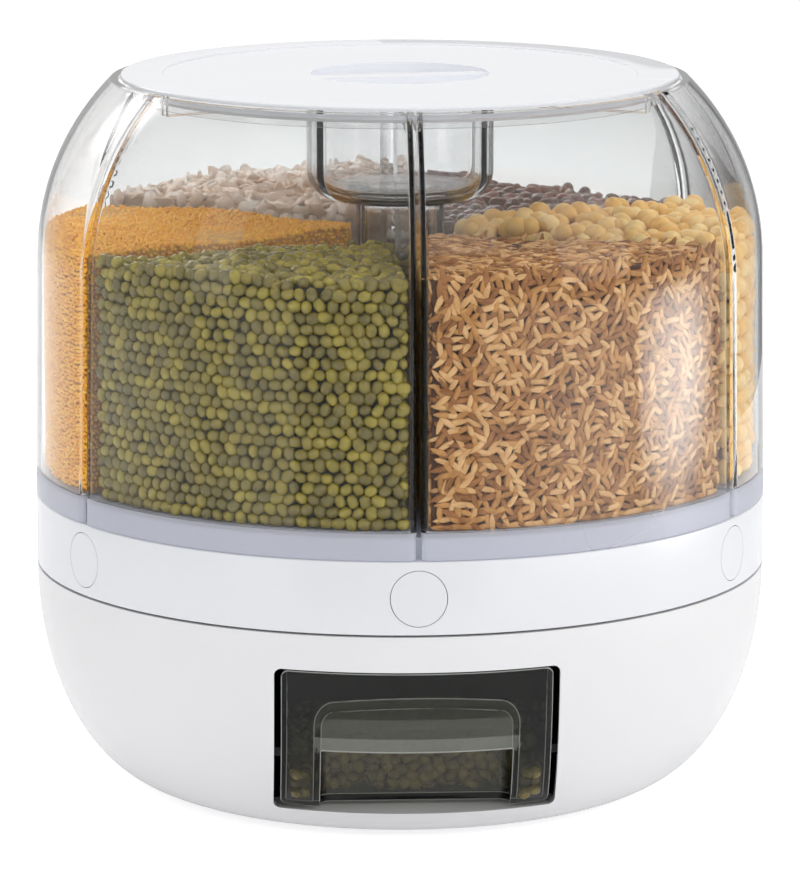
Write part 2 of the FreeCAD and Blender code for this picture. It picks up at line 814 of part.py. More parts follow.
def turntable_ring():
    """Outer ring with a flange that carries the tray, and a guide bore for each button."""
    body = new_body("turntable_ring")
    ring_inner = s.body_radius - s.ring_wall
    edge = s.ring_edge
    turned(body, [(riser - s.tray_thickness, ring_top - s.tray_thickness),
                  (ring_inner, ring_top - s.tray_thickness), (ring_inner, ring_low),
                  (s.body_radius - edge, ring_low, ("arc", edge, 1)), (s.body_radius, ring_low + edge),
                  (s.body_radius, ring_top - edge, ("arc", edge, 1)), (s.body_radius - edge, ring_top),
                  (riser - s.tray_thickness, ring_top)])
    guide_bore = s.button_radius + s.part_clearance
    guide_start = s.body_radius - s.guide_length
    guide = raised(body, [(0, button_level, guide_bore + s.guide_wall)], guide_start,
                   s.guide_length - s.ring_wall / 2, "XZ_Plane")
    bore = sunk(body, [(0, button_level, guide_bore)], s.body_radius + OVER, s.guide_length + OVER * 2,
                "XZ_Plane")
    repeated(body, [guide, bore], SECTORS)
    return finished(body, "turntable_ring")


def turntable_tray():
    """Tray that carries the bins. It stands on the ring by its rim and on the gate plate by its
    screw bosses, and each sector has a chute down from its outlet."""
    body = new_body("turntable_tray")
    hub_low = hub_top - s.hub_overlap
    hub_side = tray_bore + s.hub_wall
    turned(body, [(tray_bore, hub_low), (hub_side, hub_low), (hub_side, tray_low),
                  (riser - s.tray_thickness, tray_low), (riser - s.tray_thickness, ring_top),
                  (riser, ring_top), (riser, tray_top), (tray_bore, tray_top)])
    chute_low = slider_top + s.slide_clearance
    chute = raised(body, [outlet(s.chute_wall)], chute_low, tray_low - chute_low)
    well = sunk(body, [outlet(0)], tray_top, tray_top - chute_low)
    boss = raised(body, [(*GATE_SCREW_PLACES[0], s.boss_radius)], gate_top, tray_low - gate_top)
    hole = sunk(body, [(*GATE_SCREW_PLACES[0], screw_hole)], gate_top, s.screw_length, along=True)
    repeated(body, [chute, well, boss, hole], SECTORS)
    return finished(body, "turntable_tray")


def gate_plate():
    """Plate under the six gates: lower chutes, rails on both sides of each slider, and the
    posts that the return springs push against. Its hub holds the bush."""
    body = new_body("gate_plate")
    turned(body, [(hub_bore, gate_low), *ball_groove(gate_low, 1), (gate_plate_radius, gate_low),
                  (gate_plate_radius, gate_top), (hub_radius, gate_top), (hub_radius, hub_top),
                  (hub_bore, hub_top)])
    chute_low = gate_low - s.chute_drop
    inner, outer = -(outlet_inner - s.slider_edge - s.rail_lead), -slider_outer
    left, right = -slider_left - s.slide_clearance, s.slider_right + s.slide_clearance
    chute = raised(body, [outlet(s.chute_wall)], chute_low, chute_top - chute_low)
    well = sunk(body, [outlet(0)], chute_top, chute_top - chute_low)
    rails = raised(body, [box_corners(left - s.rail_thickness, outer, left, inner),
                          box_corners(right, outer, right + s.rail_thickness, inner)],
                   gate_top, s.rail_height)
    ledges = raised(body, [box_corners(left - s.rail_thickness, outer,
                                       -slider_left + s.rail_thickness, inner),
                           box_corners(s.slider_right - s.rail_thickness, outer,
                                       right + s.rail_thickness, inner)],
                    gate_top, chute_top - gate_top)
    post = raised(body, [box_corners(-s.post_width / 2, -post_outer, s.post_width / 2, -post_inner)],
                  gate_top, button_level + s.spring_radius - gate_top)
    hole = sunk(body, [(*GATE_SCREW_PLACES[0], screw_hole)], gate_top, s.gate_plate_thickness)
    repeated(body, [chute, well, ledges, rails, post, hole], SECTORS)
    return finished(body, "gate_plate")


def gate_slider(number):
    """Flat gate with its window, a slot for the spring and a neck out to the button."""
    body = new_body(f"gate_slider_{number}")
    inner = -(outlet_inner - s.slider_edge)
    neck = s.neck_width / 2
    raised(body, [[(-slider_left, inner), (-slider_left, -slider_outer), (-neck, -slider_outer),
                   (-neck, -neck_reach), (neck, -neck_reach), (neck, -slider_outer),
                   (s.slider_right, -slider_outer), (s.slider_right, inner)]],
           slider_low, s.slider_thickness)
    raised(body, [box_corners(-neck, -neck_reach, neck, -stop_inner)],
           button_level - s.stop_height / 2, s.stop_height)
    window = soft_box(-(s.outlet_side + s.outlet_width), -window_outer, -s.outlet_side, -window_inner,
                      s.outlet_corner)
    slot = box_corners(-spring_slot_half, -stop_inner, spring_slot_half, -spring_slot_inner)
    sunk(body, [window, slot], slider_top, s.slider_thickness)
    turn_about_z(body, SECTOR * (number - 1))
    return finished(body, body.Name)


def push_button(number):
    """Round button whose face follows the ring, with a stem back to its slider."""
    body = new_body(f"push_button_{number}")
    back = s.body_radius - s.button_depth
    raised(body, [(0, button_level, s.button_radius)], back, s.button_depth + OVER, "XZ_Plane")
    high, low = button_level + s.button_radius + OVER, button_level - s.button_radius - OVER
    beyond = s.body_radius + OVER * 2
    turned(body, [(s.body_radius, low), (beyond, low), (beyond, high), (s.body_radius, high)], cut=True)
    hollow = [(0, button_level, s.button_radius - s.button_wall), (0, button_level, s.stem_radius)]
    sunk(body, hollow, back, s.button_depth - s.button_face, "XZ_Plane", along=True)
    raised(body, [(0, button_level, s.stem_radius)], neck_reach, back - neck_reach, "XZ_Plane")
    turn_about_z(body, SECTOR * (number - 1))
    return finished(body, body.Name)


def gate_spring(number):
    """Return spring between the fixed post and the slider's stop, as a plain sleeve."""
    body = new_body(f"gate_spring_{number}")
    coil = [(0, button_level, s.spring_radius), (0, button_level, s.spring_radius - s.spring_wire)]
    raised(body, coil, post_outer, stop_inner - post_outer, "XZ_Plane")
    turn_about_z(body, SECTOR * (number - 1))
    return finished(body, body.Name)


# The clear barrel: six bins round a centre column.

def column_path(gap, low, high):
    """The column's side from foot to top, seen from outside at a gap: stem, flare and cup."""
    flare, corner = s.cup_base - s.cup_fillet, s.cup_base + s.cup_corner
    return [(s.stem_outer + gap, low), (s.stem_outer + gap, flare, ("arc", s.cup_fillet - gap, -1)),
            (s.stem_outer + s.cup_fillet, s.cup_base - gap),
            (s.cup_radius - s.cup_corner, s.cup_base - gap, ("arc", s.cup_corner + gap, 1)),
            (s.cup_radius + gap, corner), (s.cup_radius + gap, high)]


def centre_column():
    """Clear hollow stem with a round cup on top. A spigot plugs it into the tray's centre."""
    body = new_body("centre_column")
    inner, cup_inner = s.stem_outer - s.stem_wall, s.cup_radius - s.cup_wall
    spigot_low, spigot_inner = tray_top - s.spigot_depth, hub_radius - s.stem_wall
    cup_floor = s.cup_base + s.cup_wall
    turned(body, [(spigot_inner, spigot_low), (hub_radius, spigot_low), (hub_radius, tray_top),
                  *column_path(0, tray_top, s.cup_top), (cup_inner, s.cup_top),
                  (cup_inner, s.cup_base + s.cup_corner, ("arc", s.cup_corner - s.cup_wall, -1)),
                  (s.cup_radius - s.cup_corner, cup_floor), (0, cup_floor), (0, s.cup_base),
                  (inner, s.cup_base), (inner, tray_top + s.stem_wall),
                  (spigot_inner, tray_top + s.stem_wall)])
    return finished(body, "centre_column")


def barrel_path(inset, low):
    """The barrel's side from a level up to the rim: a slight taper, then the shoulder's arc."""
    wide = s.body_radius - s.barrel_taper - inset
    radius = s.shoulder_radius - inset
    return [(s.body_radius - inset, low), (wide, shoulder_low, ("arc", radius, 1)),
            (shoulder_centre + root(radius * radius - s.shoulder_height * s.shoulder_height), bin_top)]


def wedge_body(name, inset, low, corner):
    """One bin's form, or its hollow: a wedge left of the front button, from a level to the rim,
    between the column and the barrel wall, with round outer edges."""
    body = new_body(name)
    gap = s.bin_gap + inset
    reach = s.body_radius * 1.3
    far = math.radians(SECTOR)
    apex = (-gap, -gap / math.tan(far / 2))
    raised(body, [[apex, (apex[0] - reach * math.sin(far), apex[1] - reach * math.cos(far)),
                   (apex[0], apex[1] - reach)]], low, bin_top - low)
    around = s.body_radius * 2
    outside = turned(body, barrel_path(inset, low) + [(around, bin_top), (around, low)], cut=True)
    edges = rounded(body, outside, corner, lambda edge: edge.BoundBox.ZLength > plain(s.shoulder_height) / 2
                    and math.hypot(edge.CenterOfMass.x, edge.CenterOfMass.y) > plain(s.shoulder_radius))
    body.Tip = edges
    gap_to_column = s.column_gap + inset
    turned(body, column_path(gap_to_column, low, bin_top) + [(0, bin_top), (0, low)], cut=True)
    return body


def grain_bins():
    """Six like clear bins. Each has a skirt below its floor, an outlet in the floor, and its
    dividing walls are lower than the rim so that the lid's skirt clears them."""
    form = wedge_body("bin_form", 0, barrel_low, s.bin_corner)
    hollow = wedge_body("bin_hollow", s.bin_wall, bin_floor_top, s.bin_corner - s.bin_wall)
    well = prism("bin_outlet", outlet(0), tray_top, s.bin_floor)
    under = cylinders("bin_under", [(0, 0)], s.body_radius - s.bin_wall, barrel_low, tray_top - barrel_low)
    notch = cylinders("bin_notch", [(0, 0)], skirt_radius + s.seal_reach + s.notch_gap,
                      bin_top - s.divider_drop, s.divider_drop)
    tools = doc.addObject("Part::Compound", "bin_cuts")
    tools.Links = [hollow, well, under, notch]
    for number in range(1, SECTORS + 1):
        grain_bin = joined("Cut", f"grain_bin_{number}", form, tools)
        turn_about_z(grain_bin, SECTOR * (number - 1))
        finished(grain_bin, f"grain_bin_{number}")


# The lid.

def lid_cover():
    """White lid with a sunk dish and a grip bar across it, inside the dish's own form."""
    dish_floor = lid_face - s.dish_depth
    dish_under = dish_floor - s.dish_wall
    flat, bend = s.dish_radius - s.dish_corner, dish_floor + s.dish_corner
    outer = s.dish_radius + s.dish_wall
    cover = spun("lid_form", [
        (0, dish_under), (flat, dish_under, ("arc", s.dish_corner + s.dish_wall, 1)), (outer, bend),
        (outer, lid_low), (lid_radius, lid_low),
        (lid_radius, lid_high - s.lid_edge, ("arc", s.lid_edge, 1)),
        (lid_radius - s.lid_edge, lid_high), (lid_step_radius, lid_high),
        (lid_step_radius - s.lid_step, lid_face), (s.dish_radius, lid_face),
        (s.dish_radius, bend, ("arc", s.dish_corner, -1)),
        (flat, dish_floor), (0, dish_floor)])
    middle = s.dish_wall / 2
    filled = spun("dish_filled", [
        (0, dish_under + middle), (flat, dish_under + middle, ("arc", s.dish_corner + middle, 1)),
        (s.dish_radius + middle, bend), (s.dish_radius + middle, lid_face), (0, lid_face)])
    half, turn = s.grip_width / 2, math.radians(GRIP_TURN)
    corners = [(outer * (math.cos(turn) * a) - half * (math.sin(turn) * b),
                outer * (math.sin(turn) * a) + half * (math.cos(turn) * b))
               for a, b in ((-1, -1), (1, -1), (1, 1), (-1, 1))]
    bar = prism("grip_bar", corners, dish_under + middle, s.dish_depth + middle - s.grip_drop)
    grip = joined("Common", "grip", bar, filled)
    return finished(joined("Fuse", "lid_cover", cover, grip), "lid_cover")


def lid_skirt():
    """Clear ring under the lid that centres it inside the bins' rims."""
    body = new_body("lid_skirt")
    inner = skirt_radius - s.skirt_wall
    low = lid_low - s.skirt_depth
    turned(body, [(inner, low), (skirt_radius, low), (skirt_radius, lid_low), (inner, lid_low)])
    return finished(body, "lid_skirt")


def lid_seal():
    """Soft ring round the lid's skirt."""
    body = new_body("lid_seal")
    inner, outer = skirt_radius + s.pin_clearance, skirt_radius + s.seal_reach
    middle = lid_low - s.skirt_depth / 2
    half = s.seal_depth / 2
    turned(body, [(inner, middle - half), (outer, middle), (inner, middle + half)])
    return finished(body, "lid_seal")


# The drawer.

def hood(name, margin):
    """The finger recess as a solid, grown by a margin: an upright back, a roof that rises to the
    front panel, and round edges between them."""
    body = new_body(name)
    back, tip = recess_back - margin, s.body_radius
    half, bend = s.recess_half + margin, s.hood_bend + margin
    slope = (s.hood_high - s.hood_bend) / (hood_front - recess_back)
    side = [(-back, s.drawer_low), (-back, bend), (-tip, bend + slope * (tip - back)),
            (-tip, s.drawer_low)]
    solid = raised(body, [side], -half, half * 2, "YZ_Plane")
    low, front = plain(s.drawer_low), -plain(tip)
    rounded(body, solid, s.hood_round + margin,
            lambda edge: edge.CenterOfMass.z > low + 1 and edge.CenterOfMass.y > front + 1)
    return body


def drawer():
    """One clear moulding: a box whose front follows the bowl, with a finger recess that is open
    below and runs up behind the front panel. The skilled feature of the part."""
    face = bowl_solid("drawer_face", s.drawer_inset, s.foot_proud + s.drawer_inset)
    inset = s.drawer_inset + s.drawer_wall
    lining = bowl_solid("drawer_lining", inset, s.foot_proud + inset)
    half, inner = s.drawer_half, s.drawer_half - s.drawer_wall
    depth = s.body_radius - s.drawer_back
    box = fronted("drawer_outline", soft_box(-half, s.drawer_low, half, s.drawer_high, s.drawer_corner),
                  s.drawer_back, depth)
    form = joined("Common", "drawer_form", box, face)
    over = s.drawer_inner_corner * 2    # so that the cavity's own upper corners stay above the rim
    cavity_box = fronted("drawer_cavity", soft_box(-inner, s.drawer_low + s.drawer_wall, inner,
                                                   s.drawer_high + over, s.drawer_inner_corner),
                         s.drawer_back + s.drawer_wall, depth)
    cavity = joined("Common", "drawer_inside", cavity_box, lining)

    recess = hood("hood_inner", 0)
    hood_void = joined("Common", "hood_space", recess, lining)
    below = fronted("finger_level", box_corners(-half, s.drawer_low, half, s.recess_high),
                    recess_back, s.body_radius - recess_back)
    gap = joined("Common", "finger_gap", recess, below)
    kept = joined("Cut", "drawer_hollow", cavity, hood("hood_outer", s.drawer_wall))
    hollowed = joined("Cut", "drawer_hollowed", form, kept)
    opened = joined("Cut", "drawer_opened", hollowed, joined("Fuse", "recess_space", hood_void, gap))
    return finished(opened, "drawer_box")


def build():
    base_shell()
    bottom_cover()
    screws("cover_screws", COVER_SCREW_PLACES, s.foot_proud + s.cover_sink, s.cover_screw_length,
           upward=True)
    for number, place in enumerate(FOOT_PLACES, 1):
        rubber_foot(number, place)
    deck_plate()
    screws("deck_screws", DECK_SCREW_PLACES, deck_top, s.screw_length)
    drawer_sleeve()
    screws("sleeve_screws", SLEEVE_SCREW_PLACES, deck_top, s.screw_length)
    spindle()
    spindle_washer()
    screws("spindle_screw", [(0, 0)], spindle_top + s.washer_thickness, s.screw_length)
    ball_cage()
    bearing_balls()
    turntable_ring()
    turntable_tray()
    gate_plate()
    screws("gate_screws", GATE_SCREW_PLACES, gate_low, s.screw_length, upward=True)
    hub_bush()
    centre_column()
    grain_bins()
    for number in range(1, SECTORS + 1):
        gate_spring(number)
        gate_slider(number)
        push_button(number)
    lid_cover()
    lid_skirt()
    lid_seal()
    drawer()


def check():
    """Every object has to have come out, and every cut has to have cut something."""
    for item in doc.Objects:
        if {"Invalid", "Error"} & set(item.State):
            raise RuntimeError(f"{item.Name}: {item.State}")
        if item.TypeId in ("PartDesign::Pocket", "PartDesign::Groove"):
            if item.Shape.Volume >= item.BaseFeature.Shape.Volume:
                raise RuntimeError(f"{item.Name} cuts nothing")
    for node in NODES:
        if node.Shape.isNull() or not node.Shape.isValid() or not node.Shape.Solids:
            raise RuntimeError(f"{node.Label} has no valid solid")


build()
doc.recompute()
check()
os.makedirs("parts", exist_ok=True)
for node in NODES:
    node.Shape.exportStep(f"parts/{node.Label}.step")
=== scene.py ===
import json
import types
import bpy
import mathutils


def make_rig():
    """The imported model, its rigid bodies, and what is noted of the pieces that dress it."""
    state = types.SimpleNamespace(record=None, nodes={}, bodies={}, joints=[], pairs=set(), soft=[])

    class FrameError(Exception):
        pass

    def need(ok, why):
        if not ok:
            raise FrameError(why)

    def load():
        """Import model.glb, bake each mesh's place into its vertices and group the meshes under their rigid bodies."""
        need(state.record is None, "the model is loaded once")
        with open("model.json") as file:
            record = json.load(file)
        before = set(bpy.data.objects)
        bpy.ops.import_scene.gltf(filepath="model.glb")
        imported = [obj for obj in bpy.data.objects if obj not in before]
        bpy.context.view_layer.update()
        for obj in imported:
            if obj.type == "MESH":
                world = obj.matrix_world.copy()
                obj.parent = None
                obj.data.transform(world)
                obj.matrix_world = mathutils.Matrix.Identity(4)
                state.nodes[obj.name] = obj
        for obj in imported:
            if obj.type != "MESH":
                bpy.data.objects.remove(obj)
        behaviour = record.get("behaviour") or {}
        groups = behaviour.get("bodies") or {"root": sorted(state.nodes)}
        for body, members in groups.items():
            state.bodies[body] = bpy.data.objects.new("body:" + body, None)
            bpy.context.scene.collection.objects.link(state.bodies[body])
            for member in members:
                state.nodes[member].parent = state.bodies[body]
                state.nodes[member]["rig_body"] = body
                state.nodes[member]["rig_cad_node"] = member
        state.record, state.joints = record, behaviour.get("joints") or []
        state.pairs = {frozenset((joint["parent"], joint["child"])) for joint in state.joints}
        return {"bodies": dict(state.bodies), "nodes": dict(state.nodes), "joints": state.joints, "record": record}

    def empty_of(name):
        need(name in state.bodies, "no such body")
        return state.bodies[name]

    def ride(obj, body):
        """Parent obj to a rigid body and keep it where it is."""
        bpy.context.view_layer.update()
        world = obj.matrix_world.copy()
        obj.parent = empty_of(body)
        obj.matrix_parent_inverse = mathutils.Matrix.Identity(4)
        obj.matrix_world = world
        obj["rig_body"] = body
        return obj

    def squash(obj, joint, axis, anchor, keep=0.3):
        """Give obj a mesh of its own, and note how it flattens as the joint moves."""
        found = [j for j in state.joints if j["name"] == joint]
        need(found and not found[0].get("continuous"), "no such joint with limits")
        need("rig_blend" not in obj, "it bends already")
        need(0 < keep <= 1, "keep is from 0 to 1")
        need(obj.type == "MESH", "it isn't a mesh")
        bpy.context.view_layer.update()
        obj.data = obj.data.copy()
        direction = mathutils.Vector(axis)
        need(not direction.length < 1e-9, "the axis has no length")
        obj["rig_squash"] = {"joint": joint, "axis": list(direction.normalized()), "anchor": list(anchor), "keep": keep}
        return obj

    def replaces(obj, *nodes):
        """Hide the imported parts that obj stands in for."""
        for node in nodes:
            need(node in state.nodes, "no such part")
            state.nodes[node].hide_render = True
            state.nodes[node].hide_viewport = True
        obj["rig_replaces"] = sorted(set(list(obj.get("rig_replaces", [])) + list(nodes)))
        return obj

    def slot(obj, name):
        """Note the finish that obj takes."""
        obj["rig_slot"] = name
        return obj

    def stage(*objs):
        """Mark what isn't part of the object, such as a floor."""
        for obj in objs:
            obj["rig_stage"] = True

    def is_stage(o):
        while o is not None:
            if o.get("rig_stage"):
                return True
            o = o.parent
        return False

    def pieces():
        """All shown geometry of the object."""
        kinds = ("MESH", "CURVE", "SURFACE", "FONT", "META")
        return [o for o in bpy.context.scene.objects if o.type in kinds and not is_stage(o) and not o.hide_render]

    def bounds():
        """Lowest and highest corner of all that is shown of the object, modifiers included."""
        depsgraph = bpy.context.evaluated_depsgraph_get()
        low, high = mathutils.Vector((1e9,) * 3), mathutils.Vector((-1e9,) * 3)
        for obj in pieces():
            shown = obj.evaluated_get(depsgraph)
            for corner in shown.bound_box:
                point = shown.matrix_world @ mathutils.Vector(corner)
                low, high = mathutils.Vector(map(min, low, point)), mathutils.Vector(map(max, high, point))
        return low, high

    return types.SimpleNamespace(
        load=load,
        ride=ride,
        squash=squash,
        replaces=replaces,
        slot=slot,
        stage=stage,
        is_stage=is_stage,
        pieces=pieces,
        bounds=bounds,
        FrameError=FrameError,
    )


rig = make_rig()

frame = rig.load()

import json
import math

import bpy
import numpy as np
from mathutils import Matrix, Vector

cad_box = [list(corner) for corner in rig.bounds()]
nodes = frame["nodes"]
MM = 0.001
BINS = range(1, 7)
SECTOR = 60     # degrees from one bin or button to the next

# The room: a pale seamless floor and large soft lights. The floor and the sky look white to the
# camera and through clear plastic, and the floor keeps the object's soft shadow. In gloss the
# room is dimmer, with soft cards beside the object that draw its edges.

FLOOR_GLOW, FLOOR_GLOW_SEEN = 0.16, 0.46
SKY_IN_GLOSS, SKY_SEEN = 0.46, 1.0
LAMPS_AIM = Vector((0, 0, 0.16))
CARD_CORE, CARD_RIM = 0.1, 0.5      # where a card's light starts to fade and ends, in its widths


def new_material(name):
    """A material with its node tree and its Principled shader."""
    material = bpy.data.materials.new(name)
    material.use_nodes = True
    tree = material.node_tree
    return material, tree, tree.nodes["Principled BSDF"]


def seen_directly(tree):
    """1 for rays from the camera and through clear plastic, and 0 for gloss and for the light."""
    path = tree.nodes.new("ShaderNodeLightPath")
    larger = tree.nodes.new("ShaderNodeMath")
    larger.operation = "MAXIMUM"
    tree.links.new(path.outputs["Is Camera Ray"], larger.inputs[0])
    tree.links.new(path.outputs["Is Transmission Ray"], larger.inputs[1])
    return larger.outputs[0]


bpy.ops.object.select_all(action="DESELECT")
bpy.ops.mesh.primitive_plane_add(size=16, location=(0, 2, 0))
floor = bpy.context.object
floor.name = "studio_floor"
floor_finish, tree, shader = new_material("studio_floor")
shader.inputs["Base Color"].default_value = (0.86, 0.86, 0.87, 1)
shader.inputs["Roughness"].default_value = 0.9
shader.inputs["Specular IOR Level"].default_value = 0
shader.inputs["Emission Color"].default_value = (1, 1, 1, 1)
glow = tree.nodes.new("ShaderNodeMath")
glow.operation = "MULTIPLY_ADD"
glow.inputs[1].default_value = FLOOR_GLOW_SEEN
glow.inputs[2].default_value = FLOOR_GLOW
tree.links.new(seen_directly(tree), glow.inputs[0])
tree.links.new(glow.outputs[0], shader.inputs["Emission Strength"])
floor.data.materials.append(floor_finish)
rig.stage(floor)

sky = bpy.data.worlds.new("studio_sky")
bpy.context.scene.world = sky
sky.use_nodes = True
background = sky.node_tree.nodes["Background"]
background.inputs["Color"].default_value = (1, 1, 1, 1)
level = sky.node_tree.nodes.new("ShaderNodeMapRange")
level.inputs["To Min"].default_value = SKY_IN_GLOSS
level.inputs["To Max"].default_value = SKY_SEEN
sky.node_tree.links.new(seen_directly(sky.node_tree), level.inputs["Value"])
sky.node_tree.links.new(level.outputs["Result"], background.inputs["Strength"])


def soft_light(name, place, size, power):
    """A soft box that faces the middle of the object. It isn't mirrored in gloss."""
    bpy.ops.object.light_add(type="AREA", location=place)
    lamp = bpy.context.object
    lamp.name = name
    lamp.data.shape = "RECTANGLE"
    lamp.data.size, lamp.data.size_y = size
    lamp.data.energy = power
    lamp.visible_glossy = False
    lamp.rotation_euler = (LAMPS_AIM - Vector(place)).to_track_quat("-Z", "Y").to_euler()


soft_light("left_box", (-1.7, -0.9, 0.75), (0.5, 1.5), 4.5)
soft_light("right_box", (1.7, -1.0, 0.8), (0.9, 1.2), 8)
soft_light("front_box", (0.4, -1.9, 1.2), (1.2, 0.8), 6.8)
soft_light("back_box", (-0.4, 1.6, 1.3), (1.4, 0.8), 14)
soft_light("top_box", (0.1, 0.1, 2.1), (1.5, 1.5), 13)


def reflected_card(name, place, size, strength, rim, through=False, gloss=True):
    """An upright card beside the object, which its gloss mirrors or its clear plastic shows, or
    both. The card's light fades from its middle to its rim."""
    bpy.ops.mesh.primitive_plane_add(size=1, location=place)
    card = bpy.context.object
    card.name = name
    card.scale = (*size, 1)
    card.rotation_euler = (Vector((0, 0, place[2])) - Vector(place)).to_track_quat("Z", "Y").to_euler()
    finish, tree, shader = new_material(name)
    shader.inputs["Base Color"].default_value = (0, 0, 0, 1)
    shader.inputs["Specular IOR Level"].default_value = 0
    shader.inputs["Emission Color"].default_value = (1, 1, 1, 1)
    place_on = tree.nodes.new("ShaderNodeTexCoord")
    spread = tree.nodes.new("ShaderNodeVectorMath")
    spread.operation = "LENGTH"
    tree.links.new(place_on.outputs["Object"], spread.inputs[0])
    fade = tree.nodes.new("ShaderNodeMapRange")
    fade.interpolation_type = "SMOOTHSTEP"
    fade.inputs["From Min"].default_value = CARD_CORE
    fade.inputs["From Max"].default_value = CARD_RIM
    fade.inputs["To Min"].default_value = strength
    fade.inputs["To Max"].default_value = rim
    tree.links.new(spread.outputs["Value"], fade.inputs["Value"])
    tree.links.new(fade.outputs["Result"], shader.inputs["Emission Strength"])
    card.data.materials.append(finish)
    card.visible_camera = card.visible_diffuse = card.visible_shadow = False
    card.visible_transmission, card.visible_glossy = through, gloss
    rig.stage(card)


reflected_card("left_card", (-0.52, 0.4, 0.62), (0.3, 0.5), 7.0, rim=0.7, through=True)
reflected_card("left_veil", (-0.46, -0.1, 0.12), (0.5, 0.14), 1.1, rim=0.4)
reflected_card("dark_front", (-0.06, -0.54, 0.1), (0.5, 0.2), 0.05, rim=0.05)
reflected_card("right_veil", (0.36, -0.3, 0.12), (0.36, 0.14), 3.2, rim=1.6)
reflected_card("right_card", (0.46, -0.1, 0.13), (0.34, 0.16), 14.0, rim=1.4)
reflected_card("dark_card", (0.75, 0.62, 0.5), (0.9, 1.5), 0.0, rim=0.3)
reflected_card("lid_card", (0, 3.0, 0.8), (4.0, 1.4), 0.82, rim=0.55)
reflected_card("dark_edge", (0.243, 0.44, 0.2), (0.17, 0.8), 0.02, rim=1.0, through=True, gloss=False)

# A look through the barrel crosses more clear walls than the usual number of bounces allows, and
# a path that ends inside it would leave the column and the dividers dark.

WALLS_CROSSED = 32
paths = bpy.context.scene.cycles
paths.max_bounces = paths.transmission_bounces = paths.transparent_max_bounces = WALLS_CROSSED

# The camera stands two metres away and a little over half a metre up, slightly to the left of the
# front. Its long lens keeps the object nearly free of perspective, as in the photograph.

CAMERA_REACH, CAMERA_HEIGHT, CAMERA_TURN, CAMERA_DOWN = 2.063, 0.556, math.radians(-2.8), 0.196
bpy.ops.object.camera_add(
    location=(CAMERA_REACH * math.sin(CAMERA_TURN), -CAMERA_REACH * math.cos(CAMERA_TURN), CAMERA_HEIGHT),
    rotation=(math.pi / 2 - CAMERA_DOWN, 0, CAMERA_TURN))
camera = bpy.context.object
camera.data.lens = 204.2
camera.data.sensor_width = 36
bpy.context.scene.camera = camera
bpy.context.scene.view_settings.view_transform = "Standard"

# The base: a bowl moulded in white ABS with a satin face, a cover screwed under it, and four
# rubber feet. The ring above is the same plastic, a little cooler and glossier.

TONE_DRIFT = 0.992              # the darker of a moulding's two tones, as a share of its colour
SMOOTH_BELOW = math.radians(35)
WELD = 0.002 * MM


def link_noise(tree, scale, detail=2.0):
    """A noise on the coordinates of the piece itself, so that it moves with the piece."""
    place = tree.nodes.new("ShaderNodeTexCoord")
    noise = tree.nodes.new("ShaderNodeTexNoise")
    noise.inputs["Scale"].default_value = scale
    noise.inputs["Detail"].default_value = detail
    tree.links.new(place.outputs["Object"], noise.inputs["Vector"])
    return noise.outputs["Fac"]


def blend_colours(tree, amount, first, second):
    """A colour between two tones, which the middle of the noise's range spreads apart."""
    ramp = tree.nodes.new("ShaderNodeValToRGB")
    ramp.color_ramp.interpolation = "EASE"
    ramp.color_ramp.elements[0].position = 0.35
    ramp.color_ramp.elements[1].position = 0.65
    ramp.color_ramp.elements[0].color = (*first, 1)
    ramp.color_ramp.elements[1].color = (*second, 1)
    tree.links.new(amount, ramp.inputs["Fac"])
    return ramp.outputs["Color"]


def roughen(tree, shader, scale, depth):
    """A fine grain in the surface, its depth in metres."""
    bump = tree.nodes.new("ShaderNodeBump")
    bump.inputs["Strength"].default_value = 0.5
    bump.inputs["Distance"].default_value = depth
    tree.links.new(link_noise(tree, scale, 3.0), bump.inputs["Height"])
    tree.links.new(bump.outputs["Normal"], shader.inputs["Normal"])


def vary_roughness(tree, shader, scale, low, high):
    """A gloss that drifts between two roughnesses."""
    spread = tree.nodes.new("ShaderNodeMapRange")
    spread.inputs["From Min"].default_value = 0.3
    spread.inputs["From Max"].default_value = 0.7
    spread.inputs["To Min"].default_value = low
    spread.inputs["To Max"].default_value = high
    tree.links.new(link_noise(tree, scale), spread.inputs["Value"])
    tree.links.new(spread.outputs["Result"], shader.inputs["Roughness"])


def moulded(name, colour, roughness, grain=900, depth=0.00001, coat=0.0, metal=0.0):
    """Moulded plastic, rubber or plated steel: a faint drift of tone, and a fine grain."""
    material, tree, shader = new_material(name)
    darker = [part * TONE_DRIFT for part in colour]
    tree.links.new(blend_colours(tree, link_noise(tree, 5), darker, colour), shader.inputs["Base Color"])
    vary_roughness(tree, shader, 25, roughness * 0.95, roughness * 1.05)
    roughen(tree, shader, grain, depth)
    shader.inputs["Metallic"].default_value = metal
    shader.inputs["Coat Weight"].default_value = coat
    shader.inputs["Coat Roughness"].default_value = 0.08
    return material


def dress(material, *names):
    """Give CAD nodes a material, and change nothing else on them."""
    for name in names:
        for holder in nodes[name].material_slots:
            holder.material = material


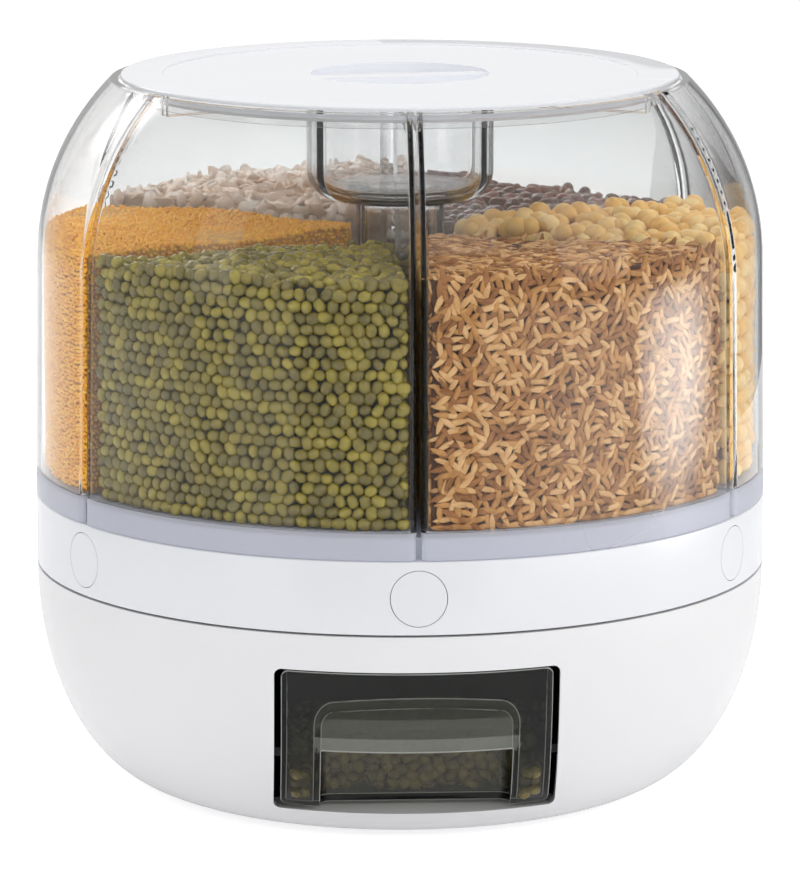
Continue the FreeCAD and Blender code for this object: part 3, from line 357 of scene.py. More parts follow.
def smoothed(node):
    """A finer-shaded copy of a CAD node, in its place, with its own edges kept crisp."""
    bpy.ops.object.select_all(action="DESELECT")
    copy = nodes[node].copy()
    copy.data = nodes[node].data.copy()
    copy.name = f"{node}_finish"
    copy.parent = None
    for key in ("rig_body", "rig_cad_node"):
        if key in copy:
            del copy[key]
    bpy.context.scene.collection.objects.link(copy)
    copy.select_set(True)
    bpy.context.view_layer.objects.active = copy
    if copy.data.has_custom_normals:
        bpy.ops.mesh.customdata_custom_splitnormals_clear()
    bpy.ops.object.mode_set(mode="EDIT")
    bpy.ops.mesh.select_all(action="SELECT")
    bpy.ops.mesh.remove_doubles(threshold=WELD)
    bpy.ops.object.mode_set(mode="OBJECT")
    bpy.ops.object.shade_smooth_by_angle(angle=SMOOTH_BELOW)
    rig.replaces(copy, node)
    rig.ride(copy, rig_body[node])
    return copy


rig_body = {node: body for body, members in frame["record"]["behaviour"]["bodies"].items()
           for node in members}
bowl_white = moulded("bowl_white", (0.86, 0.86, 0.87), 0.26)
dress(bowl_white, "base_shell", "bottom_cover")
smoothed("base_shell")
dress(moulded("foot_rubber", (0.035, 0.035, 0.036), 0.75, 2500, 0.00003),
      *[f"rubber_foot_{number}" for number in range(1, 5)])

# Inside the base: the deck and the ball cage in natural plastic, the tunnel round the drawer in
# black, whose black also stands in as painted shade for the dark gap round the drawer, and the pins,
# balls and screws in plated steel.

dress(moulded("natural_acetal", (0.74, 0.74, 0.72), 0.42), "deck_plate", "ball_cage", "hub_bush",
      "gate_plate", *[f"gate_slider_{number}" for number in BINS])
# painted shade: the tunnel's black stands in for the shade in the gap round the drawer
dress(moulded("tunnel_black_painted_shade", (0.012, 0.012, 0.014), 0.3), "drawer_sleeve")
plated_steel = moulded("plated_steel", (0.62, 0.62, 0.64), 0.24, 1800, 0.00002, metal=1.0)
dress(plated_steel, "cover_screws", "deck_screws", "sleeve_screws", "gate_screws", "spindle",
      "spindle_washer", "spindle_screw", "bearing_balls")

# The drawer: one moulding in smoke-grey clear plastic, polished on its outer face, with the
# finger recess pushed into its front. The recess's back wall is thin and looks paler. The hood over
# the recess takes a paler, milky finish, a painted reflection of the bright floor that its roof mirrors.
# The front edges are rounded, and their roundings take a pale milky finish, a painted highlight for the
# light they catch.

SMOKE_INDEX, CLEAR_COAT_INDEX = 1.2, 1.5
EDGE_ROUNDING, SHARP_ABOVE, FRONT_EDGES = 0.4, math.radians(40), -110.5
WALL_HALF_WIDTH, WALL_TOP, WALL_FRONT, WALL_BACK = 39.0, 48.5, -117.5, -110.0
HOOD_HALF_WIDTH, HOOD_BOTTOM, HOOD_TOP, HOOD_BACK, HOOD_REACH = 41.8, 44.7, 68.5, -112.0, 147.5


def pass_light(tree, shader, share):
    """Let a share of the light go on through the plastic to what lies behind it."""
    through = tree.nodes.new("ShaderNodeBsdfTransparent")
    through.inputs["Color"].default_value = (*share, 1)
    choice = tree.nodes.new("ShaderNodeMixShader")
    tree.links.new(tree.nodes.new("ShaderNodeLightPath").outputs["Is Shadow Ray"], choice.inputs["Fac"])
    tree.links.new(shader.outputs["BSDF"], choice.inputs[1])
    tree.links.new(through.outputs["BSDF"], choice.inputs[2])
    tree.links.new(choice.outputs["Shader"], tree.nodes["Material Output"].inputs["Surface"])


def clear_plastic(name, tint, roughness, index, gloss, haze=0.0):
    """Clear moulding that lets light through to what it holds. A polished coat mirrors the room,
    and haze makes it a little milky."""
    material, tree, shader = new_material(name)
    shader.inputs["Base Color"].default_value = (*tint, 1)
    shader.inputs["IOR"].default_value = index
    shader.inputs["Transmission Weight"].default_value = 1 - haze
    shader.inputs["Coat Weight"].default_value = gloss
    shader.inputs["Coat IOR"].default_value = CLEAR_COAT_INDEX
    shader.inputs["Coat Roughness"].default_value = roughness
    vary_roughness(tree, shader, 12, roughness, roughness * 2)
    pass_light(tree, shader, [min(1, part ** 0.5) for part in tint])
    return material


def soften_edges(piece, finish):
    """Round the sharp edges at the front of a copy, with a finish on the roundings."""
    piece.data.materials.append(finish)
    bpy.ops.object.select_all(action="DESELECT")
    piece.select_set(True)
    bpy.context.view_layer.objects.active = piece
    bpy.ops.object.mode_set(mode="EDIT")
    bpy.ops.mesh.select_mode(type="EDGE")
    bpy.ops.mesh.select_all(action="DESELECT")
    bpy.ops.mesh.edges_select_sharp(sharpness=SHARP_ABOVE)
    bpy.ops.object.mode_set(mode="OBJECT")
    corners = piece.data.vertices
    for edge in piece.data.edges:
        if edge.select and max(corners[end].co.y for end in edge.vertices) > FRONT_EDGES * MM:
            edge.select = False
    bpy.ops.object.mode_set(mode="EDIT")
    bpy.ops.mesh.bevel(offset=EDGE_ROUNDING * MM, segments=2, affect="EDGES", clamp_overlap=False,
                       material=len(piece.data.materials) - 1)
    bpy.ops.object.mode_set(mode="OBJECT")
    bpy.ops.object.shade_smooth_by_angle(angle=SMOOTH_BELOW)


def refinish(piece, finish, chosen):
    """Another finish on the faces of a copy that a test picks."""
    piece.data.materials.append(finish)
    for face in piece.data.polygons:
        if chosen(face):
            face.material_index = len(piece.data.materials) - 1


def on_recess_wall(face):
    """Whether a face that isn't finished yet is one of the two sides of the recess's back wall."""
    x, y, z = face.center / MM
    upright = abs(face.normal.y) > 0.9
    return (face.material_index == 0 and upright and abs(x) < WALL_HALF_WIDTH and z < WALL_TOP
            and WALL_FRONT < y < WALL_BACK)


def on_hood(face):
    """Whether a face that isn't finished yet is part of the hood, behind the front panel."""
    x, y, z = face.center / MM
    return (face.material_index == 0 and abs(x) < HOOD_HALF_WIDTH and HOOD_BOTTOM < z < HOOD_TOP
            and y < HOOD_BACK and math.hypot(x, y) < HOOD_REACH)


dress(clear_plastic("smoke_plastic", (0.36, 0.37, 0.335), 0.015, SMOKE_INDEX, 0.3), "drawer_box")
drawer_shape = smoothed("drawer_box")
# painted highlight: the roundings take a pale milky finish that stands in for the light the edges catch
soften_edges(drawer_shape, clear_plastic("smoke_edge_painted_highlight", (0.7, 0.71, 0.68), 0.12, SMOKE_INDEX, 1.0, haze=0.5))
refinish(drawer_shape, clear_plastic("smoke_thin", (0.56, 0.55, 0.45), 0.015, SMOKE_INDEX, 0.6),
         on_recess_wall)
# painted reflection: the hood's paler, hazy finish stands in for the floor light its roof mirrors
refinish(drawer_shape, clear_plastic("smoke_hood_painted_reflection", (0.46, 0.47, 0.42), 0.1, SMOKE_INDEX, 1.0, haze=0.16),
         on_hood)

# The turntable's ring and its six buttons, in a cooler white than the bowl's. Each button stands
# flush in a thin round seam. The tray's white is darkened to a grey-blue, painted shade for the tray
# lying in shade where it shows through the bins' frosted feet.

ring_white = moulded("ring_white", (0.85, 0.86, 0.89), 0.2, coat=0.15)
dress(ring_white, "turntable_ring", *[f"push_button_{number}" for number in BINS])
# painted shade: the tray's white plastic darkened to grey-blue for the shade it lies in under the bins
dress(moulded("tray_painted_shade", (0.5, 0.515, 0.58), 0.3), "turntable_tray")
smoothed("turntable_ring")
for number in BINS:
    smoothed(f"push_button_{number}")

# The gates' return springs: seven turns of steel wire between a fixed post and the button's
# stop. A spring shortens towards its post as its button goes in.

SPRING_RADIUS, WIRE, COILS = 3.4 * MM, 0.45 * MM, 7
SPRING_FROM, SPRING_TO, SPRING_LEVEL = 118.5 * MM, 142.5 * MM, 110.4 * MM
WIRE_SIDES, STEPS_PER_COIL = 8, 18
for number in BINS:
    bpy.ops.object.select_all(action="DESELECT")
    bpy.ops.mesh.primitive_circle_add(vertices=WIRE_SIDES, radius=WIRE, rotation=(math.pi / 2, 0, 0),
                                      location=(SPRING_RADIUS, 0, 0))
    spring = bpy.context.object
    spring.name = f"spring_coil_{number}"
    bpy.ops.object.transform_apply(location=True, rotation=True, scale=True)
    winding = spring.modifiers.new("winding", "SCREW")
    winding.iterations = COILS
    winding.steps = winding.render_steps = STEPS_PER_COIL
    winding.screw_offset = (SPRING_TO - SPRING_FROM - 4 * WIRE) / COILS
    bpy.ops.object.modifier_apply(modifier="winding")
    turn = math.radians(SECTOR * (number - 1))
    seat = Matrix.Translation((0, -SPRING_FROM - 2 * WIRE, SPRING_LEVEL))
    lying = Matrix.Rotation(math.pi / 2, 4, "X")
    spring.data.transform(Matrix.Rotation(turn, 4, "Z") @ seat @ lying)
    bpy.ops.object.mode_set(mode="EDIT")
    bpy.ops.mesh.select_all(action="SELECT")
    bpy.ops.mesh.remove_doubles(threshold=WELD)
    bpy.ops.mesh.select_all(action="DESELECT")
    bpy.ops.mesh.select_non_manifold()
    bpy.ops.mesh.edge_face_add()
    bpy.ops.mesh.select_all(action="SELECT")
    bpy.ops.mesh.normals_make_consistent(inside=False)
    bpy.ops.object.mode_set(mode="OBJECT")
    bpy.ops.object.shade_smooth()
    spring.data.materials.append(plated_steel)
    outward = Vector((math.sin(turn), -math.cos(turn), 0))
    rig.replaces(spring, f"gate_spring_{number}")
    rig.slot(spring, "steel")
    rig.ride(spring, "turntable")
    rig.squash(spring, f"button_{number}_press", axis=tuple(outward),
              anchor=tuple(outward * SPRING_FROM + Vector((0, 0, SPRING_LEVEL))), keep=0.54)

# The clear barrel: six wedge bins and the hollow column between them, in polished clear
# polystyrene. Under its floor a bin's foot is frosted and shows as a pale band, tinted grey-blue as
# painted shade for the shaded tray behind it. The bins' flat sides are a touch clearer than their
# outer face.

BIN_FLOOR, FOOT_MARGIN = 137.0, 0.2
SIDE_FACING = 0.97              # least share of a normal that points across a bin's flat side


def on_divider(face, number):
    """Whether a face lies along one of a bin's two flat sides."""
    turns = [math.radians(SECTOR * (number - 1) + way) for way in (-SECTOR, 0)]
    return any(abs(face.normal.x * math.cos(turn) + face.normal.y * math.sin(turn)) > SIDE_FACING
               for turn in turns)


def on_foot(face):
    """Whether a face lies under a bin's floor."""
    return face.center.z < BIN_FLOOR * MM + FOOT_MARGIN * MM


barrel_clear = clear_plastic("barrel_clear", (0.87, 0.875, 0.875), 0.004, 1.16, 0.35)
dress(barrel_clear, "lid_skirt", *[f"grain_bin_{number}" for number in BINS])
dress(clear_plastic("column_clear", (0.97, 0.972, 0.975), 0.01, 1.12, 1.0), "centre_column")
divider_clear = clear_plastic("divider_clear", (0.955, 0.96, 0.96), 0.006, 1.14, 0.25, haze=0.01)
# painted shade: the frosted foot's grey-blue tint stands in for the shaded tray seen through it
foot_frost_painted_shade = clear_plastic("foot_frost_painted_shade", (0.67, 0.68, 0.755), 0.25, 1.2, 0.3, haze=0.6)
smoothed("centre_column")
smoothed("lid_skirt")
for number in BINS:
    grain_bin = smoothed(f"grain_bin_{number}")
    bpy.ops.object.mode_set(mode="EDIT")
    bpy.ops.mesh.select_all(action="SELECT")
    bpy.ops.mesh.bisect(plane_co=(0, 0, BIN_FLOOR * MM), plane_no=(0, 0, 1))
    bpy.ops.object.mode_set(mode="OBJECT")
    refinish(grain_bin, divider_clear, lambda face: on_divider(face, number))
    refinish(grain_bin, foot_frost_painted_shade, on_foot)

# The food. Each kind is one grain, modelled once and copied over the surface of a plain heap
# that fills its bin. The heap takes a darker tone than its grains, painted shade that shows in the
# gaps between them. The kinds go counter-clockwise from the front left bin, seen from above. The
# two at the back are guessed from their tops. All sizes are in millimetres.

DIVIDER_GAP, STEM = 3.2, 19.6       # room beside a bin's flat sides, and the column's reach
BARREL_FOOT, BARREL_TAPER, TAPER_FROM = 152.6, 1.5, 126
SHOULDER_LOW, SHOULDER_RADIUS, SHOULDER_CENTRE = 224.0, 104.8, 46.5
HALF_SECTOR = math.radians(SECTOR / 2)
HEART_RADIUS, HEART_TOP, HEART_SIDES = 150.2, 260, 96
HEAP_EDGE = 149                     # radius at which a heap's outer level is measured
ARC_RADIUS, FACE_WIDTH, FACE_HEIGHT, TOP_REACH = 152, 170, 118, 160
SIDE_FROM, SIDE_LENGTH = 24, 130
SIDE_SPACING = 1.15                 # grains along the dividers stand this much wider apart
SKIN, TOP_SKIN = 0.9, 0.7           # depth of a layer of grains, in a grain's thickness
GRAIN_REACH = 0.42                  # how far a grain reaches from its middle, in its length
CLEARANCE = 0.3                     # between a grain and the wall it lies against
ROW = 0.866                         # between two rows of packed grains, in their spacing
LOOSE = 0.3                         # how far a grain lies off its place in the row
generator = np.random.default_rng(11)


def barrel_inside(level):
    """Inner radius of the barrel at a level."""
    straight = BARREL_FOOT - BARREL_TAPER * np.clip((level - TAPER_FROM) / (SHOULDER_LOW - TAPER_FROM), 0, 1)
    above = np.clip(level - SHOULDER_LOW, 0, SHOULDER_RADIUS - 1)
    return np.minimum(straight, SHOULDER_CENTRE + np.sqrt(SHOULDER_RADIUS ** 2 - above ** 2))


def model_grain(size, faces, shape):
    """One grain, modelled from a ball: returns its corners and its triangles."""
    bpy.ops.object.select_all(action="DESELECT")
    bpy.ops.mesh.primitive_ico_sphere_add(subdivisions=faces, radius=0.5)
    grain = bpy.context.object
    bpy.ops.object.mode_set(mode="EDIT")
    bpy.ops.mesh.select_all(action="SELECT")
    bpy.ops.transform.resize(value=size)
    bpy.ops.object.mode_set(mode="OBJECT")
    corners = np.zeros(len(grain.data.vertices) * 3)
    grain.data.vertices.foreach_get("co", corners)
    corners = corners.reshape(-1, 3)
    along = corners[:, 0] / (size[0] / 2)
    if shape == "husk":         # pointed ends and a crease along one side
        corners[:, 1:] *= (1 - 0.55 * np.abs(along) ** 2.2)[:, None]
        corners[:, 2] -= 0.35 * np.exp(-(corners[:, 1] / (0.14 * size[1])) ** 2) * (corners[:, 2] > 0)
    if shape == "bean":         # slightly square ends and a flat on the side of the eye
        corners[:, 1:] *= (1 + 0.12 * np.abs(along) ** 2)[:, None]
        corners[:, 1] = np.maximum(corners[:, 1], -0.44 * size[1])
    if shape == "flake":        # curled, with an uneven rim
        corners[:, 2] += 0.14 * (corners[:, 0] ** 2 - corners[:, 1] ** 2) / size[0]
        corners[:, :2] *= generator.uniform(0.75, 1.15, (len(corners), 1))
    triangles = np.array([list(face.vertices) for face in grain.data.polygons])
    mesh = grain.data
    bpy.data.objects.remove(grain)
    bpy.data.meshes.remove(mesh)
    return corners, triangles


def scattered(width, height, spacing, rounds=0):
    """Places on a rectangle, spaced like packed grains. Each round pushes close pairs apart and
    lifts the lowest onto the floor."""
    columns, rows = int(width / spacing) + 2, int(height / (spacing * ROW)) + 2
    across, up = np.meshgrid(np.arange(columns), np.arange(rows))
    across = (across + 0.5 * (up % 2)) * spacing
    places = np.stack([across.ravel(), up.ravel() * spacing * ROW], 1)
    places += generator.uniform(-LOOSE, LOOSE, places.shape) * spacing
    for _ in range(rounds):
        apart = places[:, None] - places[None]
        distance = np.hypot(apart[..., 0], apart[..., 1]) + np.eye(len(places)) * 99
        push = np.clip(spacing * 0.98 - distance, 0, None) / distance * 0.5
        places = places + (apart * push[..., None]).sum(1)
        places[:, 1] = np.maximum(places[:, 1], 0)
    inside = (places[:, 0] > 0) & (places[:, 0] < width) & (places[:, 1] >= 0) & (places[:, 1] < height)
    return places[inside]


def grain_turns(normals, tilt, room=None):
    """Turns that lay each grain flat on its surface, its length any way along it. With no room
    under it, a grain's length stays level, so that it doesn't dip through the floor."""
    count = len(normals)
    normals = normals + generator.normal(0, tilt, normals.shape)
    normals /= np.linalg.norm(normals, axis=1)[:, None]
    way = generator.normal(0, 1, (count, 3))
    if room is not None:
        way[:, 2] *= room
    way -= normals * np.sum(way * normals, 1)[:, None]
    way /= np.linalg.norm(way, axis=1)[:, None]
    return np.stack([way, np.cross(normals, way), normals], 2)


def poured(name, grain, places, turns, tones, body, eye=None):
    """One piece of many grains. The grains share a few tones of the same finish, and a bean
    has a pale eye on its flat side."""
    corners, triangles = grain
    sizes = generator.uniform(0.88, 1.1, (len(places), 1, 1))
    points = np.einsum("nij,kj->nki", turns, corners) * sizes + places[:, None, :]
    faces = triangles[None] + (np.arange(len(places)) * len(corners))[:, None, None]
    mesh = bpy.data.meshes.new(name)
    mesh.from_pydata((points.reshape(-1, 3) * MM).tolist(), [], faces.reshape(-1, 3).tolist())
    for tone in tones:
        mesh.materials.append(tone)
    picks = np.repeat(generator.integers(0, len(tones), len(places)), len(triangles))
    if eye:
        mesh.materials.append(eye)
        middles = corners[triangles].mean(1)
        length, width = np.ptp(corners[:, 0]), np.ptp(corners[:, 1])
        pale = (np.abs(middles[:, 0]) < length * 0.14) & (middles[:, 1] < -0.4 * width)
        picks[np.tile(pale & (np.abs(middles[:, 2]) < width * 0.09), len(places))] = len(tones)
    mesh.polygons.foreach_set("material_index", picks.astype(np.int32))
    mesh.polygons.foreach_set("use_smooth", np.ones(len(mesh.polygons), bool))
    mesh.update()
    piece = bpy.data.objects.new(name, mesh)
    bpy.context.scene.collection.objects.link(piece)
    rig.ride(piece, body)


def grain_finish(name, first, second, roughness, sheen=0.3):
    """Skin of a dry grain: two tones that drift from grain to grain, and fine pits."""
    material, tree, shader = new_material(name)
    tree.links.new(blend_colours(tree, link_noise(tree, 170, 3), first, second), shader.inputs["Base Color"])
    vary_roughness(tree, shader, 300, roughness * 0.8, roughness * 1.2)
    roughen(tree, shader, 1600, 0.00004)
    shader.inputs["Specular IOR Level"].default_value = sheen
    return material


def cut_away(piece, point, normal):
    """Cut a solid with a plane, keep the side the normal points away from, and close it."""
    bpy.ops.object.select_all(action="DESELECT")
    piece.select_set(True)
    bpy.context.view_layer.objects.active = piece
    bpy.ops.object.mode_set(mode="EDIT")
    bpy.ops.mesh.select_all(action="SELECT")
    bpy.ops.mesh.bisect(plane_co=tuple(value * MM for value in point), plane_no=normal,
                        use_fill=True, clear_outer=True)
    bpy.ops.object.mode_set(mode="OBJECT")


def plain_heart(name, out, side, skin, outer_top, slope, finish):
    """The wedge of plain food under the grains of one bin, in a darker tone that is painted shade for the gaps between
    the grains.
    """
    bpy.ops.object.select_all(action="DESELECT")
    bpy.ops.mesh.primitive_cylinder_add(vertices=HEART_SIDES, radius=(HEART_RADIUS - skin) * MM,
                                        depth=(HEART_TOP - BIN_FLOOR) * MM,
                                        location=(0, 0, (HEART_TOP + BIN_FLOOR) / 2 * MM))
    core = bpy.context.object
    core.name = f"{name}_heart"
    bpy.ops.object.transform_apply(location=True, rotation=True, scale=True)
    for way in (-1, 1):
        normal = out * -math.sin(HALF_SECTOR) + side * math.cos(HALF_SECTOR) * way
        cut_away(core, normal * -(DIVIDER_GAP + skin), tuple(normal))
    cut_away(core, out * (STEM + skin), tuple(-out))
    rise = Vector((*(-slope * out[:2]), 1)).normalized()
    cut_away(core, out * HEAP_EDGE + np.array([0, 0, outer_top - skin]), tuple(rise))
    core.data.materials.append(finish)
    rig.ride(core, "turntable")


def fill_bin(name, number, kind, size, spacing, outer_top, inner_top, tones, heart, detail=2, tilt=0.25,
             layers=2, rounds=0, eye=None):
    """Fill one bin: a plain heart in a darker tone, painted shade for the gaps between grains, then
    grains on its outer face, its top and its two sides. The grains under the first layer show less,
    and are a plainer piece of their own."""
    middle = math.radians(-SECTOR / 2 + SECTOR * (number - 1))
    out = np.array([math.sin(middle), -math.cos(middle), 0])
    side = np.array([math.cos(middle), math.sin(middle), 0])
    slope = (outer_top - inner_top) / (HEAP_EDGE - STEM)
    half, reach = size[2] / 2, size[0] * GRAIN_REACH
    plain_heart(name, out, side, size[2] * SKIN, outer_top, slope, heart)

    def top_at(points):
        """Level of the heap's top, which swells and sinks a little."""
        swell = 1.6 * np.sin(points[:, 0] / 17 + number) * np.sin(points[:, 1] / 21 + 2 * number)
        return inner_top + slope * (points @ out[:2] - STEM) + swell

    def room_below(points):
        """0 for a grain that lies on the floor, and 1 where its length can dip freely."""
        return np.clip((points[:, 2] - BIN_FLOOR - size[2] * 0.5) / reach, 0, 1) ** 1.5

    def within(points):
        """Inside the wedge's two sides, clear of the stem."""
        across, deep = np.abs(points @ side[:2]), points @ out[:2]
        room = deep * math.sin(HALF_SECTOR) - across * math.cos(HALF_SECTOR)
        return (room > DIVIDER_GAP + reach) & (np.hypot(points[:, 0], points[:, 1]) > STEM + 2 + reach)

    places, normals, depths = [], [], []
    for layer in range(layers):         # the outer face, as a flat rectangle wound onto the barrel
        flat = scattered(FACE_WIDTH, FACE_HEIGHT, spacing, rounds=rounds if layer == 0 else 0)
        level = BIN_FLOOR + half + flat[:, 1]
        radius = barrel_inside(level + half) - half - CLEARANCE - layer * size[2] * SKIN
        radius -= generator.uniform(0, 0.12, len(flat)) * size[2]
        angle = middle + (flat[:, 0] - FACE_WIDTH / 2) / ARC_RADIUS
        spots = np.stack([radius * np.sin(angle), -radius * np.cos(angle), level], 1)
        keep = within(spots[:, :2]) & (level < top_at(spots[:, :2]) - half * 0.4)
        places.append(spots[keep])
        normals.append(np.stack([np.sin(angle), -np.cos(angle), 0 * angle], 1)[keep])
        depths.append(np.full(keep.sum(), layer))
    for layer in range(layers):         # the top
        flat = scattered(TOP_REACH, FACE_WIDTH, spacing)
        spots = flat[:, :1] * out[None, :2] + (flat[:, 1:] - FACE_WIDTH / 2) * side[None, :2]
        level = top_at(spots) - half - layer * size[2] * TOP_SKIN
        level = level + generator.uniform(-0.3, 0.3, len(flat)) * size[2]
        keep = within(spots) & (np.hypot(*spots.T) < barrel_inside(level + half) - reach - CLEARANCE)
        places.append(np.column_stack([spots, level])[keep])
        normals.append(np.tile([0, 0, 1.0], (keep.sum(), 1)))
        depths.append(np.full(keep.sum(), layer))
    places, normals, depths = np.concatenate(places), np.concatenate(normals), np.concatenate(depths)
    turns = grain_turns(normals, tilt, room_below(places))
    for part, here, faces in (("front", depths == 0, detail), ("under", depths > 0, 1)):
        if here.any():
            poured(f"{name}_{part}", model_grain(size, faces, kind), places[here], turns[here], tones,
                   "turntable", eye)
    places, normals = [], []
    for way in (-1, 1):                 # the two sides, along the dividers
        edge = out * math.cos(HALF_SECTOR) + side * way * math.sin(HALF_SECTOR)
        wall = -out * math.sin(HALF_SECTOR) + side * way * math.cos(HALF_SECTOR)
        flat = scattered(SIDE_LENGTH, FACE_HEIGHT, spacing * SIDE_SPACING)
        spots = edge[None, :2] * (flat[:, :1] + SIDE_FROM)
        spots = spots - wall[None, :2] * (DIVIDER_GAP + half + CLEARANCE)
        level = BIN_FLOOR + half + flat[:, 1]
        room = barrel_inside(level + half) - reach - 0.4
        keep = (level < top_at(spots) - half) & (np.hypot(*spots.T) < room)
        places.append(np.column_stack([spots, level])[keep])
        normals.append(np.tile(wall, (keep.sum(), 1)))
    places, normals = np.concatenate(places), np.concatenate(normals)
    poured(f"{name}_sides", model_grain(size, 1, kind), places,
           grain_turns(normals, tilt, room_below(places)), tones, "turntable")


bean_eye = grain_finish("bean_eye", (0.62, 0.6, 0.5), (0.72, 0.7, 0.6), 0.45)
mung_tones = [grain_finish("mung_olive", (0.16, 0.124, 0.008), (0.22, 0.17, 0.014), 0.2, 0.6),
              grain_finish("mung_bright", (0.205, 0.162, 0.009), (0.29, 0.23, 0.017), 0.2, 0.6),
              grain_finish("mung_dark", (0.105, 0.081, 0.006), (0.15, 0.116, 0.01), 0.2, 0.6)]
# painted shade: each bin's heart is a darker tone of its food, for the shade in the gaps between the grains
mung_heart_shade = grain_finish("mung_shade", (0.006, 0.007, 0.002), (0.01, 0.011, 0.003), 0.8)
fill_bin("mung_beans", 1, "bean", (6.3, 5.1, 4.7), 5.3, 238, 233, mung_tones, mung_heart_shade, layers=1,
         rounds=12, eye=bean_eye)

oat_tones = [grain_finish("oat_gold", (0.36, 0.165, 0.045), (0.5, 0.25, 0.08), 0.5, 0.2),
             grain_finish("oat_pale", (0.54, 0.3, 0.115), (0.66, 0.4, 0.18), 0.5, 0.2),
             grain_finish("oat_brown", (0.22, 0.085, 0.02), (0.33, 0.14, 0.042), 0.5, 0.2)]
oat_heart_shade = grain_finish("oat_shade", (0.05, 0.017, 0.005), (0.08, 0.03, 0.009), 0.8)
fill_bin("oat_grains", 2, "husk", (9.4, 2.7, 2.2), 3.5, 240, 236, oat_tones, oat_heart_shade, tilt=0.12,
         rounds=6)

soy_tones = [grain_finish("soy_cream", (0.86, 0.56, 0.2), (0.9, 0.66, 0.3), 0.45, 0.15),
             grain_finish("soy_tan", (0.8, 0.46, 0.12), (0.86, 0.55, 0.19), 0.45, 0.15)]
soy_heart_shade = grain_finish("soy_shade", (0.2, 0.09, 0.018), (0.28, 0.13, 0.03), 0.8)
fill_bin("soybeans", 3, "bean", (9.3, 8.6, 8.4), 8.7, 240, 240, soy_tones, soy_heart_shade, rounds=6)

red_tones = [grain_finish("red_bean", (0.09, 0.012, 0.012), (0.15, 0.025, 0.02), 0.25, 0.5),
             grain_finish("red_bean_dark", (0.045, 0.008, 0.01), (0.09, 0.014, 0.014), 0.25, 0.5)]
red_heart_shade = grain_finish("red_shade", (0.012, 0.003, 0.003), (0.02, 0.006, 0.005), 0.8)
fill_bin("red_beans", 4, "bean", (9.0, 6.2, 6.0), 6.6, 234, 234, red_tones, red_heart_shade, eye=bean_eye)

flake_tones = [grain_finish("flake_cream", (0.9, 0.76, 0.65), (0.93, 0.84, 0.75), 0.6),
               grain_finish("flake_pink", (0.84, 0.67, 0.56), (0.9, 0.76, 0.66), 0.6),
               grain_finish("flake_brown", (0.68, 0.5, 0.38), (0.78, 0.61, 0.49), 0.6)]
flake_heart_shade = grain_finish("flake_shade", (0.45, 0.33, 0.24), (0.6, 0.46, 0.36), 0.8)
fill_bin("rye_flakes", 5, "flake", (10.5, 8.0, 2.2), 6.0, 242, 241, flake_tones, flake_heart_shade, tilt=0.5)

millet_tones = [grain_finish("millet_yellow", (0.9, 0.44, 0.03), (0.93, 0.52, 0.05), 0.5),
                grain_finish("millet_orange", (0.82, 0.35, 0.02), (0.87, 0.42, 0.03), 0.5)]
millet_heart_shade = grain_finish("millet_shade", (0.5, 0.24, 0.035), (0.6, 0.32, 0.055), 0.8)
fill_bin("millet", 6, "ball", (1.9, 1.8, 1.8), 1.85, 238, 237, millet_tones, millet_heart_shade, detail=1, layers=1)

# The dispensed mung beans in the drawer, a little larger than those in the bin, in darker tones as
# painted shade for the dim inside of the smoked drawer. They lie against the recess's back wall, over
# the top of the heap behind it, and in the drawer's two front corners, which follow the bowl's round
# side. All sizes are in millimetres.

DRAWER_FLOOR, DRAWER_HALF, RECESS_BACK, DRAWER_BACK = 19.6, 51.8, 113.2, 29.0
BEANS_TOP = 44.0                    # level of the beans against the recess's back wall
HEAP_DROP, HEAP_SWELL = 9, 4        # how far the heap behind them lies lower, and swells
BEAN_SPACING, BEAN_GAP, LAYER_GAP = 5.5, 0.6, 4
CORNER_ROWS, CORNER_UP, CORNER_DEEP = (44.9, 48.6), 4.9, 5.1
SIDE_CENTRE, SIDE_REACH, SIDE_TOP, SIDE_DEPTH = 103, 48.6, 94.6, 89.2    # the bowl's side, an ellipse
bean = (6.6, 5.5, 5.3)
half = bean[2] / 2
heap_width = 2 * DRAWER_HALF - bean[0]
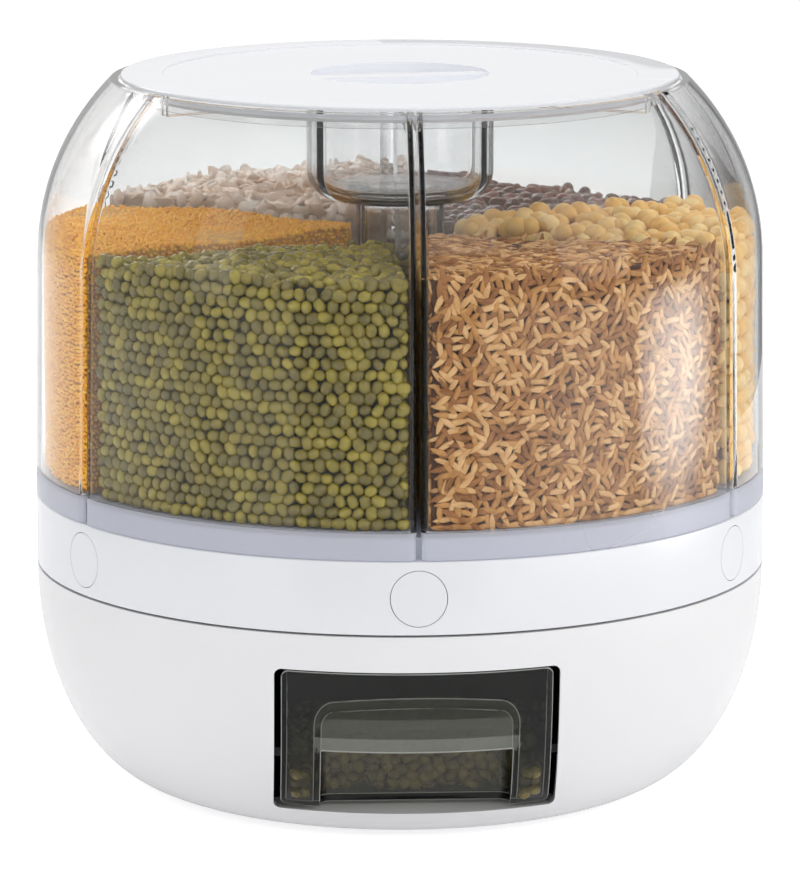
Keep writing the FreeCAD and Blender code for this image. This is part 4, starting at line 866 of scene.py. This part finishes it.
# painted shade: the mung beans' olive darkened and browned for the shade inside the drawer
drawer_shaded_tones = [grain_finish("drawer_bean", (0.12, 0.09, 0.02), (0.17, 0.13, 0.028), 0.25, 0.7),
                grain_finish("drawer_bean_dark", (0.08, 0.058, 0.013), (0.12, 0.088, 0.02), 0.25, 0.7)]
places, normals = [], []
for layer in range(2):
    flat = scattered(heap_width, BEANS_TOP - DRAWER_FLOOR, BEAN_SPACING)
    across = flat[:, 0] - DRAWER_HALF + half + BEAN_GAP
    deep = np.full(len(flat), -RECESS_BACK + half + 0.2 + layer * LAYER_GAP)
    places.append(np.column_stack([across, deep, DRAWER_FLOOR + half + flat[:, 1] * 0.8]))
    normals.append(np.tile([0, -1.0, 0], (len(flat), 1)))
flat = scattered(heap_width, RECESS_BACK - DRAWER_BACK - bean[0], BEAN_SPACING)
across = flat[:, 0] - DRAWER_HALF + half + BEAN_GAP
level = BEANS_TOP - HEAP_DROP + HEAP_SWELL * np.sin(flat[:, 1] / 26) + generator.uniform(-1, 1, len(flat))
places.append(np.column_stack([across, -DRAWER_BACK - half - BEAN_GAP - flat[:, 1], level]))
normals.append(np.tile([0, 0, 1.0], (len(flat), 1)))
for way in (-1, 1):
    for low in np.arange(DRAWER_FLOOR + half + 0.8, BEANS_TOP - HEAP_DROP, CORNER_UP):
        bowl = SIDE_CENTRE + SIDE_REACH * math.sqrt(max(0, 1 - ((SIDE_TOP - low + half) / SIDE_DEPTH) ** 2))
        for deep in np.arange(RECESS_BACK + 0.5, bowl - half - 2.0, CORNER_DEEP):
            for row in CORNER_ROWS:
                across = way * row + generator.uniform(-0.5, 0.5)
                places.append(np.array([[across, -deep, low + generator.uniform(-0.6, 0.9)]]))
                normals.append(np.array([[0, -1.0, 0.3]]))
poured("drawer_beans", model_grain(bean, 2, "bean"), np.concatenate(places),
       grain_turns(np.concatenate(normals), 0.3), drawer_shaded_tones, "drawer", bean_eye)

# The lid: a milky white gloss moulding with a sunk dish and a grip bar, over a clear skirt with a
# soft seal. The white plastic lets light through, so that the food below isn't left in the dark.

lid_white = moulded("lid_white", (0.88, 0.89, 0.93), 0.16, 700, 0.000006, coat=0.3)
pass_light(lid_white.node_tree, lid_white.node_tree.nodes["Principled BSDF"], (0.85, 0.85, 0.86))
dress(lid_white, "lid_cover")
smoothed("lid_cover")
dress(moulded("seal_silicone", (0.62, 0.63, 0.66), 0.5), "lid_seal")

seen_box = [list(corner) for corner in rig.bounds()]
with open("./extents.json", "w") as size_file:
    json.dump({"cad": cad_box, "visual": seen_box}, size_file)
